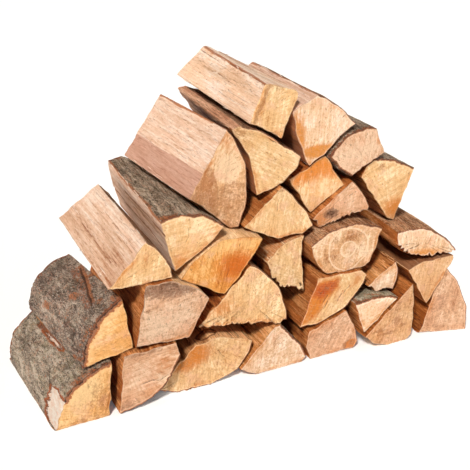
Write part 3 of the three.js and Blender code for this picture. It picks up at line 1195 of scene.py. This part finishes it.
        sign = -1.0 if front else 1.0
        fade = np.clip((1 - scale[:, None]) * far / 5, 0, 1)
        points[..., 1] += sign * height * fade
        centre = np.array([middle[0], points[-1, :, 1].mean(), middle[1]])
        return points, centre, crack

    def crack_distance(
        self, place: np.ndarray, points: np.ndarray, rings: np.ndarray, front: bool
    ) -> np.ndarray:
        """How far points of an end are from its cracks, in millimetres.

        The front end has the cracks drawn for it. Both ends have a few more that run out from the pith.

        Args:
            place: the points from the pith.
            points: the points themselves.
            rings: the solid's rings of corners.
            front: whether it is the front end.

        Returns:
            One distance for each point.
        """
        flat = points[..., [0, 2]]
        low, high = self.end_box(rings, front)
        bent = np.stack([NOISE.at(place, 9, 9, 3.0 + axis) for axis in range(2)], axis=-1)
        flat = flat + 2.2 * bent
        best = np.full(flat.shape[:-1], FAR)
        for crack in self.cracks if front else ():
            best = np.minimum(best, distance_to_line(flat, low + (high - low) * np.array(crack.points)))
        random = np.random.default_rng(self.seed * 2 + front)
        away = place[..., [0, 2]].reshape(-1, 2)
        angles = np.arctan2(away[:, 1], away[:, 0])
        reach = np.linalg.norm(away, axis=1)
        for _ in range(random.integers(0, 2) if front else random.integers(2, 5)):
            pick = random.integers(len(away))
            angle, start = angles[pick], reach[pick] * random.uniform(0.5, 0.9)
            bend = np.array([0, random.uniform(-0.05, 0.05), random.uniform(-0.05, 0.05)])
            spread = start + np.array([0, 0.5, 1]) * random.uniform(10, 30)
            line = np.stack([np.cos(angle + bend), np.sin(angle + bend)], axis=1) * spread[:, None]
            best = np.minimum(best, distance_to_line(place[..., [0, 2]] + 1.5 * bent, line) + 0.5)
        return best + 0.8 * np.clip(NOISE.at(place, 6, 6, 8.0), 0, 1)

    def end_box(self, rings: np.ndarray, front: bool) -> tuple[np.ndarray, np.ndarray]:
        """The lower left and upper right corners of the box round an end."""
        end = rings[0 if front else -1][:, [0, 2]]
        return end.min(axis=0), end.max(axis=0)

    def end_marks(self, points: np.ndarray, rings: np.ndarray, front: bool) -> np.ndarray:
        """How strong the three kinds of stain are at points of an end.

        Args:
            points: the points.
            rings: the solid's rings of corners.
            front: whether it is the front end; the back end has its stains turned over.

        Returns:
            Orange stain, brown stain and bleaching for each point.
        """
        low, high = self.end_box(rings, front)
        share = (points[..., [0, 2]] - low) / (high - low)
        total = np.zeros((*points.shape[:-1], 3)) + np.array(self.tone)
        for kind, blots in enumerate((self.orange, self.brown, self.bleached)):
            for blot in blots:
                total[..., kind] = np.maximum(total[..., kind], blot.over(share))
        return total

    def rind_distance(self, points: np.ndarray, rim: np.ndarray, on_round: np.ndarray) -> np.ndarray:
        """How far points of an end are from the bark outside, as a share of the bark's thickness."""
        if not on_round.any() or self.bark is Bark.BARE:
            return np.full(points.shape[:-1], FAR)
        runs = np.flatnonzero(on_round)
        line = rim[np.append(runs, (runs[-1] + 1) % len(rim))][:, [0, 2]]
        return distance_to_line(points[..., [0, 2]], line[:: max(1, len(line) // 24)]) / self.bark.thickness

    def build(self, solid: bpy.types.Object) -> bpy.types.Object:
        """Makes the log's mesh: the grid of its sides between its two sawn ends.

        Args:
            solid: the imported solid.

        Returns:
            The new object.
        """
        rings = self.rings(solid)
        grid = self.surface(rings)
        on_round = np.isin(grid.side, list(self.barked))
        place = self.from_pith(grid.points, rings)
        torn = self.torn(grid)
        marks, nearest, lowered = self.traced(grid)
        if self.bark.flakes:
            flaked = np.where(on_round, self.flaked(grid), 0)
            marks[..., Stain.DULL] = np.maximum(marks[..., Stain.DULL], flaked)
        heights = self.relief(grid, place, torn, lowered)
        sides = grid.points + grid.outward * heights[..., None]
        if rings[..., 2].min() < self.ON_GROUND:
            sides[..., 2] = np.maximum(sides[..., 2], 0)
        rows, columns = sides.shape[:2]

        skin = Skin(self.painted_shade)
        skin.add(sides, marks, vectors(nearest, torn, 0.0), heights)
        index = np.arange(rows * columns).reshape(rows, columns)
        after = np.roll(index, -1, axis=1)
        quads = np.stack([index[:-1], index[1:], after[1:], after[:-1]], axis=-1)
        skin.cover(quads, np.broadcast_to(np.where(on_round, Slot.OUTSIDE, Slot.SIDE), (rows - 1, columns)))
        for front in (True, False):
            row = 0 if front else -1
            rim = sides[row]
            inner, centre, crack = self.cap(rim, rings[row], rings, front)
            steps = len(inner)
            everything = np.concatenate([inner.reshape(-1, 3), centre[None], rim])
            lines = np.zeros((len(everything), 3))
            lines[:, 0] = np.concatenate([crack.reshape(-1), crack[-1, :1], np.full(columns, FAR)])
            lines[:, 1] = self.rind_distance(everything, rim, on_round & (torn[row] < 0))
            lines[:, 2] = self.saw_turn()
            outline = np.concatenate([rim, rim[:1]])[::2, [0, 2]]
            from_rim = distance_to_line(everything[:, [0, 2]], outline)
            stains = self.end_marks(everything, rings, front)
            first = skin.add(everything, stains, lines, np.zeros(len(everything)), from_rim)
            inside = np.arange(steps * columns).reshape(steps, columns) + first
            hub = first + steps * columns
            layers = np.concatenate([np.arange(columns)[None] + hub + 1, inside])
            if not front:
                layers = layers[:, ::-1]
            following = np.roll(layers, -1, axis=1)
            ring_quads = np.stack([layers[:-1], following[:-1], following[1:], layers[1:]], axis=-1)
            skin.cover(ring_quads, np.full((steps, columns), Slot.END))
            fan = np.stack([layers[-1], following[-1], np.full(columns, hub)], axis=-1)
            skin.cover(fan, np.full(columns, Slot.END))
        self.splinter(skin, grid, sides, on_round)
        return skin.finish(f"{self.node}_wood", lambda points: self.from_pith(points, rings))

    def splinter(self, skin: Skin, grid: Surface, sides: np.ndarray, on_round: np.ndarray) -> None:
        """Adds slivers of wood that have torn up from the split sides, most of them along the corners.

        Each one is a three-sided spike that follows the side for a while and lifts off it towards its tip.

        Args:
            skin: the log's mesh as far as it is made.
            grid: the grid before its relief.
            sides: the points of the sides.
            on_round: which columns carry bark.
        """
        random = np.random.default_rng(500 + self.seed)
        near = np.exp(-grid.to_corner / 4) + 0.05
        weight = np.where(on_round, 0, near)
        rows, sections, count = len(sides), 8, self.splinters
        shortest, longest, rooted = 4, 12, 0.5
        column = random.choice(len(weight), count, p=weight / weight.sum())
        first = random.integers(1, rows - longest, count)
        span = random.integers(shortest, longest, count)
        ahead = random.random(count) < 0.5
        share = np.linspace(0, 1, sections)
        row = first[:, None] + np.rint(np.where(ahead[:, None], share, 1 - share) * span[:, None]).astype(int)
        out = grid.outward[row, column[:, None]]
        lift = random.uniform(0.8, 4.5, count)[:, None] * share**1.6
        middle = sides[row, column[:, None]] + out * (lift - rooted)[..., None]
        drift = random.uniform(-2.5, 2.5, count)[:, None] * share**2
        aside = vectors(-out[..., 2], 0.0, out[..., 0])
        middle = middle + aside * drift[..., None]
        wide = random.uniform(0.8, 2.2, count)[:, None] * (1 - share**2 * 0.93)
        corners = []
        for angle in np.radians((90, 210, 330)):
            corners.append(middle + (aside * math.cos(angle) + 0.7 * out * math.sin(angle)) * wide[..., None])
        points = np.stack(corners, axis=2)
        if sides[..., 2].min() < self.ON_GROUND:
            points[..., 2] = np.maximum(points[..., 2], 0.05)
        marks = np.zeros(points.shape) + np.array([0.0, 0.0, 1.2])
        lines = np.zeros(points.shape) + np.array([FAR, -FAR, 0.0])
        start = skin.add(points, marks, lines, np.full(points.shape[:-1], 1.0))
        index = np.arange(count * sections * 3).reshape(count, sections, 3) + start
        index[~ahead] = index[~ahead][..., ::-1]
        after = np.roll(index, -1, axis=2)
        quads = np.stack([index[:, :-1], index[:, 1:], after[:, 1:], after[:, :-1]], axis=-1)
        skin.cover(quads, np.full(quads.shape[:-1], Slot.SIDE))
        skin.cover(index[:, 0], np.full(count, Slot.SIDE))
        skin.cover(index[:, -1, ::-1], np.full(count, Slot.SIDE))

    def dress(self, piece: bpy.types.Object, materials: dict[str, bpy.types.Material]) -> None:
        """Gives the log its three finishes: sawn ends, split sides and bark."""
        for finish in (self.end, self.cleft, self.bark):
            piece.data.materials.append(materials[finish.value.name])


@dataclass
class Row:
    """A row of the heap, from left to right."""

    name: str
    logs: list[Log]

    def build(self, frame: dict, materials: dict[str, bpy.types.Material], slots: dict[str, str]) -> None:
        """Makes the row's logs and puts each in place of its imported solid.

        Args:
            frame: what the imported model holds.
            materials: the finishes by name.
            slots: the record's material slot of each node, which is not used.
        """
        for one in self.logs:
            piece = one.build(frame["nodes"][one.node])
            one.dress(piece, materials)
            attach(piece, "root")
            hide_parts(one.node)
            log.info("%s: %d faces, bark on %d sides", piece.name, len(piece.data.polygons), len(one.barked))


def heap() -> list[Row]:
    """The rows of the heap from the ground up, each log with its looks."""
    # On the lower logs here and in the next two rows, the brown share of tone and the darkening of the ends
    # are painted shade.
    bottom = Row("bottom_row", [
        Log(
            "bottom_row_log_1", Wood.AMBER, Cleft.TAN, Bark.GREY, (134.0,), (0.92, 0.0), painted_shade=0.09, seed=1,
            tone=(0.0, 0.0, 0.2),
            brown=(Blot(0.85, 0.35, 0.4, 0.45, 0.7), Blot(0.55, 0.05, 0.6, 0.12, 0.6)),
            bleached=(Blot(0.45, 0.65, 0.4, 0.35, 1.3),),
            cracks=(Split(((0.62, 0.62), (0.58, 0.76))),),
            tears=(
                Tear(((0.65, -5), (0.66, 17), (0.63, 35), (0.67, 66), (0.71, 54), (0.75, 63), (0.79, 50),
                    (0.84, 66), (0.88, 55), (0.93, 60), (0.97, 44), (1.0, 11), (1.05, -5))),
                Tear(((0.375, 206), (0.385, 172), (0.372, 144), (0.342, 112), (0.342, 146), (0.35, 178))),
            ),
            traces=(
                Trace(134, ((0.68, 62), (0.64, 78), (0.59, 96)), 0.8, Stain.CRACK, depth=2.5),
                Trace(134, ((0.345, 124), (0.34, 104)), 2.0, Stain.RUSTY, soft=3.0),
                Trace(134, ((0.37, 216), (0.37, 234)), 6.0, Stain.DULL, soft=5.0, depth=2.0),
                Trace(134, ((0.3, 212), (0.28, 225), (0.32, 238)), 2.0, Stain.RUSTY, 0.8),
                Trace(134, ((0.0, 286), (1.0, 286)), 2.5, Stain.RUSTY, 0.9),
                Trace(134, ((0.2, 6), (0.45, 10)), 7.0, Stain.RUSTY, 0.7, 8.0),
            ),
        ),
        Log(
            "bottom_row_log_2", Wood.PINK, Cleft.TAN, Bark.BROWN, (-53.0,), (0.1, 1.0), saw=8.0, painted_shade=0.1,
            seed=2, tone=(0.1, 0.1, 0),
            bleached=(Blot(0.62, 0.62, 0.35, 0.25, 1.0),),
            brown=(
                Blot(0.1, 0.1, 0.3, 0.15, 0.9),
                Blot(0.4, 1.0, 0.5, 0.12, 1.1),
                Blot(0.6, 0.1, 0.4, 0.12, 0.5),
            ),
            orange=(Blot(0.75, 0.7, 0.35, 0.3, 0.6), Blot(0.6, 0.25, 0.4, 0.2, 0.5)),
            cracks=(Split(((0.38, 0.42), (0.55, 0.45), (0.68, 0.41), (0.78, 0.47), (0.9, 0.46))),),
        ),
        Log(
            "bottom_row_log_3", Wood.PALE, Cleft.TAWNY, Bark.THIN, (-72.0,), (0.49, 1.05), painted_shade=0.11,
            seed=3, coarse=1.8, splinters=60, tone=(0.15, 0.3, 0.0), ragged=0.3,
            orange=(Blot(0.25, 0.75, 0.35, 0.35, 1.5),),
            traces=(
                # Painted light: the whole top side is bleached paler, and the knot's pale mark is made
                # stronger than its own colour.
                lengthwise(80, 0.5, 150.0, Stain.PALE, 0.9),
                Trace(80, ((0.7, 26), (0.78, 26)), 8.0, Stain.PALE, 2.8, 3.0, -3.6),
                Trace(80, ((0.56, 26), (0.64, 15), (0.75, 12), (0.86, 15), (0.92, 26), (0.85, 37),
                    (0.73, 41), (0.62, 37), (0.56, 26)), 1.2, Stain.CRACK, depth=1.8),
            ),
            cracks=(Split(((0.62, 0.72), (0.7, 0.54))),),
        ),
        Log(
            "bottom_row_log_4", Wood.CREAM, Cleft.TAWNY, Bark.BROWN, (34.0,), (0.0, 0.15), painted_shade=0.12,
            seed=4, tone=(0, 0.3, 0),
        ),
        Log(
            "bottom_row_log_5", Wood.PINK, Cleft.TAN, Bark.THIN, (20.0,), (0.0, 0.4), painted_shade=0.08, seed=5,
            tone=(0.0, 0.28, 0.0), saw=65.0,
            orange=(Blot(0.88, 0.12, 0.15, 0.12, 1.3, 2.0),),
            brown=(
                Blot(0.4, 0.5, 0.5, 0.5, 0.45),
                Zone(((0.74, 0.0), (0.72, 0.16), (0.8, 0.27), (0.84, 0.24), (0.78, 0.14), (0.79, 0.0))),
            ),
        ),
        Log(
            "bottom_row_log_6", Wood.CREAM, Cleft.TAN, Bark.LICHEN, (85.0,), (0.23, 0.0), saw=20.0, seed=6,
            tone=(0.0, 0.0, 0.2),
            traces=(
                Trace(85, ((0.96, -5), (0.98, 16)), 8.0, Stain.RUSTY),
                Trace(85, ((0.4, 6), (0.6, 14)), 3.0, Stain.RUSTY),
            ),
        ),
        Log(
            "bottom_row_log_7", Wood.PEACH, Cleft.UMBER, Bark.BARE, (-98.0, 3.0), (0.93, 1.0), painted_shade=0.12,
            seed=7, tone=(0.0, 0.32, 0.0),
            orange=(Blot(0.3, 0.35, 0.4, 0.4, 0.4),),
            brown=(
                Blot(0.6, 0.6, 0.4, 0.25, 0.5),
                Blot(0.65, 0.4, 0.12, 0.12, 0.9),
                Blot(0.3, 0.3, 0.2, 0.04, 1.2),
                Blot(0.5, 0.22, 0.24, 0.04, 1.1),
                Blot(0.66, 0.72, 0.1, 0.03, 1.0),
                Blot(0.8, 0.3, 0.1, 0.05, 1.0),
            ),
        ),
        Log(
            "bottom_row_log_8", Wood.PINK, Cleft.UMBER, Bark.THIN, (17.0,), (0.0, 0.15), painted_shade=0.12, seed=8,
            tone=(0.0, 0.32, 0.0),
            brown=(Blot(0.45, 0.5, 0.25, 0.3, 0.6), Blot(0.4, 0.1, 0.3, 0.15, 0.5)),
        ),
    ])
    second = Row("second_row", [
        Log(
            "second_row_log_1", Wood.AMBER, Cleft.TAN, Bark.ROAN, (147.0,), (1.0, 0.15), saw=15.0, seed=9,
            tone=(0.15, 0.0, 0.0),
            traces=(
                Trace(147, ((0.05, 190), (0.11, 147), (0.18, 105), (0.26, 63), (0.28, 53)), 0.6,
                    Stain.CRACK, depth=3.0),
                Trace(147, ((0.03, 195), (0.09, 147), (0.16, 105), (0.24, 60)), 4.5, Stain.RUSTY, 1.8, 4.0),
                lengthwise(147, 0.5, 120.0, Stain.DULL, 0.12),
                Trace(147, ((0.12, 190), (0.2, 130), (0.32, 60)), 10.0, Stain.DULL, 0.45, 12.0),
                Trace(147, ((0.33, 108), (0.38, 122)), 9.0, Stain.RUSTY, 0.9, 8.0),
                Trace(147, ((0.7, 182), (0.72, 194)), 8.0, Stain.RUSTY, 0.9, 8.0),
                Trace(147, ((0.01, 138),), 9.0, Stain.RUSTY),
                Trace(147, ((0.18, 41),), 8.0, Stain.RUSTY, 0.8),
                Trace(147, ((0.02, 6), (0.06, 18)), 10.0, Stain.RUSTY, 0.9, 8.0),
                Trace(147, ((0.5, 10), (0.75, 16)), 6.0, Stain.RUSTY, 0.7, 9.0),
                Trace(147, ((0.9, 5), (0.95, 40)), 5.0, Stain.RUSTY, 0.9),
            ),
        ),
        Log(
            "second_row_log_2", Wood.SMOKED, Cleft.TAN, Bark.BARE, (52.0,), (0.4, -0.2), saw=5.0, painted_shade=0.11,
            seed=10, tone=(0, 0.3, 0),
            brown=(Blot(0.62, 0.98, 0.66, 0.26, 2.0), Blot(0.25, 0.0, 0.4, 0.08, 0.8)),
            bleached=(Blot(0.4, 0.3, 0.4, 0.3),),
        ),
        Log(
            "second_row_log_3", Wood.PALE, Cleft.TAN, Bark.THIN, (29.0,), (0.4, 0.0), saw=85.0, ragged=0.8,
            painted_shade=0.05, seed=11, coarse=1.8, tone=(0.0, 0.25, 0.0),
            orange=(Blot(0.12, 0.12, 0.35, 0.2, 0.9), Blot(0.25, 0.45, 0.25, 0.2, 0.7)),
        ),
        Log(
            "second_row_log_4", Wood.RUSTED, Cleft.TAN, Bark.THIN, (-59.0,), (0.5, 1.6), saw=58.0,
            painted_shade=0.13, seed=12, splinters=60, tone=(0.1, 0.0, 0.0),
            orange=(
                Zone(((0.1, 0.66), (0.22, 0.9), (0.56, 0.92), (0.56, 0.72), (0.4, 0.56), (0.32, 0.36),
                    (0.2, 0.16), (0.04, 0.04), (-0.05, 0.1)), 1.5, 0.22),
                Zone(((0.74, 0.62), (0.8, 0.9), (0.95, 0.9), (0.9, 0.72)), 0.7, 0.12),
            ),
            brown=(
                Zone(((0.2, 0.64), (0.25, 0.84), (0.53, 0.88), (0.53, 0.74), (0.4, 0.64), (0.3, 0.56)), 1.5,
                    0.16),
            ),
            cracks=(
                Split(((0.4, 0.6), (0.35, 0.46))),
                Split(((0.42, 0.47), (0.37, 0.33))),
                Split(((0.62, 0.56), (0.57, 0.42))),
                Split(((0.74, 0.72), (0.66, 0.55))),
            ),
        ),
        Log(
            "second_row_log_5", Wood.CREAM, Cleft.TAWNY, Bark.THIN, (-3.0,), (0.0, 0.3), seed=13,
            coarse=2.2, splinters=90, tone=(0.1, 0.0, 0.0),
        ),
        Log(
            "second_row_log_6", Wood.PEACH, Cleft.UMBER, Bark.BARE, (95.0,), (0.45, 0.0), painted_shade=0.06,
            seed=14, tone=(0.0, 0.15, 0.0),
            cracks=(Split(((0.36, 0.95), (0.38, 0.78))),),
            # Painted shadow: a dark stain along the top, where the log above shades it.
            traces=(lengthwise(95, 0.5, 90.0, Stain.DULL, 0.7, 10.0),),
        ),
    ])
    third = Row("third_row", [
        Log(
            "third_row_log_1", Wood.PALE, Cleft.SALMON, Bark.THIN, (29.0,), (0.0, 0.0), seed=15,
            traces=(
                Trace(134, ((0.7, 292), (0.7, 56)), 0.1, Stain.CRACK, depth=2.0),
                Trace(134, ((0.3, 20), (0.33, 130)), -0.3, Stain.CRACK, depth=1.2),
                Trace(134, ((0.93, -10), (0.9, 60), (0.96, 130)), 3.0, Stain.RUSTY, 0.5),
            ),
        ),
        Log(
            "third_row_log_2", Wood.ORANGE, Cleft.TAN, Bark.BARE, (-38.0, 106.0), (0.53, 0.0), painted_shade=0.04,
            seed=16,
            orange=(Blot(0.68, 0.5, 0.3, 0.35, 1.0),),
            bleached=(Blot(0.4, 0.95, 0.6, 0.25, 1.0),),
        ),
        Log(
            "third_row_log_3", Wood.PALE, Cleft.TAN, Bark.BARE, (115.0,), (1.1, 0.2), ragged=0.9, painted_shade=0.06,
            seed=17, tone=(0.0, 0.25, 0.0),
            traces=(lengthwise(115, 0.5, 90.0, Stain.RUSTY, 0.5, 10.0),),
        ),
        Log(
            "third_row_log_4", Wood.RINGED, Cleft.TAN, Bark.RUSSET, (90.0,), (0.52, 0.49), seed=18,
            brown=(
                Blot(0.3, 0.36, 0.16, 0.2, 0.7),
                Blot(0.62, 0.74, 0.14, 0.1, 0.8),
                Blot(0.36, 0.72, 0.12, 0.1, 0.6),
                Blot(0.7, 0.45, 0.06, 0.2, 0.4),
                Blot(0.5, 0.2, 0.2, 0.06, 0.45),
            ),
            orange=(Blot(0.34, 0.5, 0.16, 0.3, 0.35),),
            bleached=(Blot(0.8, 0.3, 0.25, 0.25, 0.4), Blot(0.52, 0.49, 0.1, 0.16, 0.6, 4.0)),
        ),
        Log(
            "third_row_log_5", Wood.CREAM, Cleft.TAN, Bark.RUSSET, (64.0,), (0.3, -0.2), ragged=1.1,
            seed=19,
            orange=(Blot(0.35, 0.1, 0.42, 0.26, 1.5),),
            brown=(Blot(0.3, 0.04, 0.3, 0.1, 0.9),),
        ),
    ])
    fourth = Row("fourth_row", [
        Log(
            "fourth_row_log_1", Wood.PALE, Cleft.SALMON, Bark.BROWN, (75.0,), (0.2, 0.0), saw=10.0,
            swell=8.0, seed=20, tone=(0.0, 0.0, 0.2),
            orange=(Blot(0.3, 0.1, 0.4, 0.4, 0.7), Blot(0.9, 0.5, 0.15, 0.3, 0.6)),
            traces=(
                lengthwise(-168, 0.0, 3.0, Stain.RUSTY, 1.0, 6.0),
                lengthwise(-168, 1.0, 4.0, Stain.RUSTY, 0.8, 12.0),
                Trace(-168, ((0.24, -10), (0.3, 260)), 1.2, Stain.CRACK, depth=1.5),
                Trace(-168, ((0.62, 40), (0.6, 400)), 1.0, Stain.CRACK, depth=1.5),
                Trace(75, ((0.4, 30), (0.3, 210)), 16.0, Stain.PALE, 0.22, 24.0),
                Trace(75, ((0.8, 2), (1.0, 16)), 6.0, Stain.RUSTY),
                Trace(75, ((0.99, -5), (0.99, 400)), 2.5, Stain.RUSTY),
            ),
        ),
        Log(
            "fourth_row_log_2", Wood.PALE, Cleft.TAN, Bark.THIN, (37.0,), (0.52, 1.0), seed=21,
            brown=(Blot(0.5, 0.97, 0.3, 0.12, 0.6),),
        ),
        Log(
            "fourth_row_log_3", Wood.SMOKED, Cleft.TAN, Bark.THIN, (32.0,), (0.0, 0.2), ragged=0.8, seed=22,
            cracks=(Split(((0.26, 0.33), (0.33, 0.37), (0.39, 0.33), (0.33, 0.29), (0.26, 0.33))),),
            brown=(Blot(0.32, 0.33, 0.14, 0.12, 2.2),),
            orange=(Blot(0.12, 0.24, 0.3, 0.34, 0.8),),
        ),
        Log(
            "fourth_row_log_4", Wood.PALE, Cleft.TAN, Bark.BROWN, (70.0,), (0.66, 0.0), saw=25.0, seed=23,
            brown=(Blot(0.36, 0.87, 0.09, 0.07, 0.8),),
            orange=(Blot(0.7, 0.2, 0.35, 0.22, 1.0),),
        ),
    ])
    fifth = Row("fifth_row", [
        Log(
            "fifth_row_log_1", Wood.PEACH, Cleft.SALMON, Bark.THIN, (7.0,), (0.0, 0.38), seed=24, tone=(0.0,
            0.0, 0.2),
            brown=(
                Zone(((0.3, 0.72), (0.4, 0.64), (0.48, 0.5), (0.51, 0.36), (0.5, 0.16), (0.3, 0.1),
                    (-0.1, 0.3), (0.1, 0.5)), 0.95, 0.03),
                Zone(((0.5, 0.44), (0.72, 0.5), (1.1, 0.42), (1.1, -0.1), (0.5, -0.1)), 0.7, 0.03),
            ),
            orange=(
                Zone(((0.28, 0.66), (0.46, 0.5), (0.46, 0.2), (0.1, 0.3), (0.1, 0.45)), 0.45, 0.1),
                Blot(0.66, 0.9, 0.15, 0.16, 0.6),
            ),
            bleached=(Blot(0.68, 0.6, 0.24, 0.13, 1.8),),
            traces=(
                Trace(148, ((0.82, -20), (0.82, 400)), 27.0, Stain.DULL, 1.0, 3.0),
                Trace(148, ((0.0, -10), (0.01, 400)), 2.5, Stain.RUSTY, 1.0, 3.0),
            ),
        ),
        Log(
            "fifth_row_log_2", Wood.PALE, Cleft.DUSK, Bark.THIN, (58.0,), (0.0, 1.0), saw=-28.0, painted_shade=0.05,
            seed=25,
            cracks=(Split(((0.42, 0.88), (0.55, 0.76), (0.66, 0.68))), Split(((0.55, 0.9), (0.72, 0.76)))),
            traces=(Trace(-161, ((0.0, -5), (1.0, -5)), 50.0, Stain.RUSTY, 0.9, 50.0),),
            orange=(Blot(0.1, 0.8, 0.25, 0.35, 0.4),),
            brown=(Blot(0.1, 0.92, 0.25, 0.16, 0.6),),
        ),
        Log(
            "fifth_row_log_3", Wood.HONEY, Cleft.TAN, Bark.BARE, (), (0.6, 1.6), seed=26,
            orange=(
                Zone(((-0.1, 0.42), (0.1, 0.8), (0.5, 1.1), (1.1, 0.7), (0.85, 0.56), (0.55, 0.6),
                    (0.2, 0.5)), 0.85, 0.25),
            ),
            bleached=(
                Zone(((-0.1, 0.3), (0.2, 0.48), (0.5, 0.56), (0.82, 0.5), (1.1, 0.5), (0.6, -0.1),
                    (0.3, -0.1)), 0.3, 0.2),
            ),
        ),
        Log(
            "fifth_row_log_4", Wood.PINK, Cleft.TAN, Bark.BROWN, (112.0, -133.0), (0.9, 0.0), seed=27,
            ragged=0.35, tone=(0.0, 0.0, 0.4),
            bleached=(Blot(0.5, 0.5, 0.4, 0.4, 0.8),),
        ),
    ])
    top = Row("top_row", [
        Log(
            "top_row_log_1", Wood.PALE, Cleft.CREAM, Bark.BARE, (), (-0.2, 0.3), seed=28,
            brown=(
                Blot(0.7, 0.95, 0.35, 0.1, 0.9),
                Blot(0.45, 0.1, 0.15, 0.1, 0.9),
                Zone(((0.36, 1.0), (0.44, 0.98), (0.27, 0.6), (0.2, 0.52), (0.12, 0.3), (0.02, 0.2),
                    (0.1, 0.5))),
            ),
            traces=(
                lengthwise(74, 1.0, 6.0, Stain.RUSTY, 0.7, 5.0),
                lengthwise(157, 0.0, 3.5, Stain.RUSTY, 0.75, 4.0),
                Trace(157, ((0.0, -10), (0.02, 180)), 0.8, Stain.CRACK, depth=0.8),
                Trace(74, ((0.3, 200), (0.3, 400)), 20.0, Stain.DULL, 0.9, 12.0),
                Trace(157, ((0.3, 90), (0.34, 150)), -0.5, Stain.CRACK, depth=1.0),
            ),
        ),
        Log(
            "top_row_log_2", Wood.CREAM, Cleft.SALMON, Bark.THIN, (51.0,), (0.2, -0.1), saw=88.0, seed=29,
            orange=(Blot(0.06, 0.34, 0.17, 0.5, 1.6), Blot(0.44, 0.2, 0.34, 0.1, 1.8)),
            traces=(
                lengthwise(116, 0.5, 60.0, Stain.DULL, 0.4, 10.0),
                lengthwise(-161, 0.5, 80.0, Stain.RUSTY, 0.95, 10.0),
                lengthwise(116, 0.0, 3.0, Stain.RUSTY, 1.0, 3.0),
                lengthwise(51, 0.98, 3.0, Stain.CRACK, depth=1.0),
            ),
        ),
    ])
    return [bottom, second, third, fourth, fifth, top]


# Studio


@dataclass
class Studio:
    """The pale floor, the soft lights and the camera."""

    azimuth: float = -25.5
    elevation: float = 24.2
    distance: float = 2.6
    target: tuple[float, float, float] = (0.2267, 0.4791, 0.0)
    lens: float = 72.5
    floor_size: float = 60.0
    floor_colour: str = "#ffffff"

    def back(self) -> Vector:
        """The direction from the target back to the camera."""
        a, e = math.radians(self.azimuth), math.radians(self.elevation)
        return Vector((math.sin(a) * math.cos(e), -math.cos(a) * math.cos(e), math.sin(e)))

    def build_camera(self) -> None:
        """Stands the camera where the heap is seen from the left and above."""
        data = bpy.data.cameras.new("camera")
        data.sensor_width = 36.0
        data.lens = self.lens
        data.clip_end = 200.0
        camera = put("camera", data)
        camera.rotation_mode = "QUATERNION"
        camera.location = Vector(self.target) + self.back() * self.distance
        camera.rotation_quaternion = (-self.back()).to_track_quat("-Z", "Y")
        bpy.context.scene.camera = camera

    def plain(
        self,
        name: str,
        points: list[tuple[float, float, float]],
        faces: list[tuple[int, int, int, int]],
        base: str,
        shine: float,
        glow: str,
        strength: float,
    ) -> bpy.types.Object:
        """Makes a piece of the studio in one plain material.

        Args:
            name: what it and its material are called.
            points: its corners, in metres.
            faces: the numbers of the corners of each face.
            base: its colour.
            shine: how much it mirrors.
            glow: the colour that it glows in.
            strength: how strongly it glows.

        Returns:
            The piece.
        """
        mesh = bpy.data.meshes.new(name)
        mesh.from_pydata(points, [], faces)
        material = bpy.data.materials.new(name)
        material.use_nodes = True
        shader = material.node_tree.nodes["Principled BSDF"]
        shader.inputs["Base Color"].default_value = colour(base)
        shader.inputs["Roughness"].default_value = 0.9
        shader.inputs["Specular IOR Level"].default_value = shine
        shader.inputs["Emission Color"].default_value = colour(glow)
        shader.inputs["Emission Strength"].default_value = strength
        mesh.materials.append(material)
        return put(name, mesh)

    def build_floor(self) -> None:
        """Lays a wide pale floor just under the logs."""
        half, under = self.floor_size / 2, -0.0004
        corners = [(x * half, y * half, under) for x, y in ((-1, -1), (1, -1), (1, 1), (-1, 1))]
        self.plain("floor", corners, [(0, 1, 2, 3)], self.floor_colour, 0.1, "#dceaff", 0.07)

    def build_backdrop(self) -> None:
        """Stands a pale wall round the floor, which only the camera sees."""
        count, radius, height = 48, 0.49 * self.floor_size, 0.5 * self.floor_size
        turns = [math.tau * number / count for number in range(count)]
        points = [(radius * math.cos(t), radius * math.sin(t), z) for z in (-0.001, height) for t in turns]
        faces = [(n, (n + 1) % count, (n + 1) % count + count, n + count) for n in range(count)]
        wall = self.plain("backdrop", points, faces, "#000000", 0.0, "#ffffff", 1.0)
        wall.visible_diffuse = wall.visible_glossy = wall.visible_shadow = False

    def sun(
        self, name: str, place: tuple[float, float, float], softness: float, strength: float, code: str
    ) -> None:
        """Sets up a broad far light that shines from a place towards the heap.

        Args:
            name: what it is called.
            place: the direction that it comes from.
            softness: how wide it looks, in degrees.
            strength: its power for each square metre.
            code: its colour.
        """
        data = bpy.data.lights.new(name, "SUN")
        data.angle = math.radians(softness)
        data.energy = strength
        data.color = colour(code)[:3]
        lamp = put(name, data)
        lamp.location = place
        lamp.rotation_mode = "QUATERNION"
        lamp.rotation_quaternion = (-Vector(place)).to_track_quat("-Z", "Y")

    def build(self) -> None:
        """Makes the whole studio."""
        self.build_camera()
        self.build_floor()
        self.build_backdrop()
        self.sun("key", (-2.1, -2.4, 3.2), 9.0, 3.75, "#fffaf2")
        self.sun("fill", (3.0, -2.4, 1.6), 40.0, 0.25, "#fffaf4")
        world = bpy.data.worlds.new("studio")
        world.use_nodes = True
        background = world.node_tree.nodes["Background"]
        background.inputs["Color"].default_value = (1.0, 0.99, 0.975, 1.0)
        background.inputs["Strength"].default_value = 0.18
        bpy.context.scene.world = world
        bpy.context.scene.view_settings.view_transform = "Standard"
        bpy.context.scene.view_settings.look = "None"


def main() -> None:
    """Builds the studio and the heap."""
    logging.basicConfig(level=logging.INFO, format="%(name)s: %(message)s")
    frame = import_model()
    slots = {}
    for part in frame["record"]["subparts"]:
        slots[part["node"]] = part["material_slot"]
    finishes = [member.value for kind in (Wood, Cleft, Bark) for member in kind]
    materials = {finish.name: finish.material() for finish in finishes}
    Studio().build()
    for row in heap():
        row.build(frame, materials, slots)


if __name__ == "__main__":
    main()
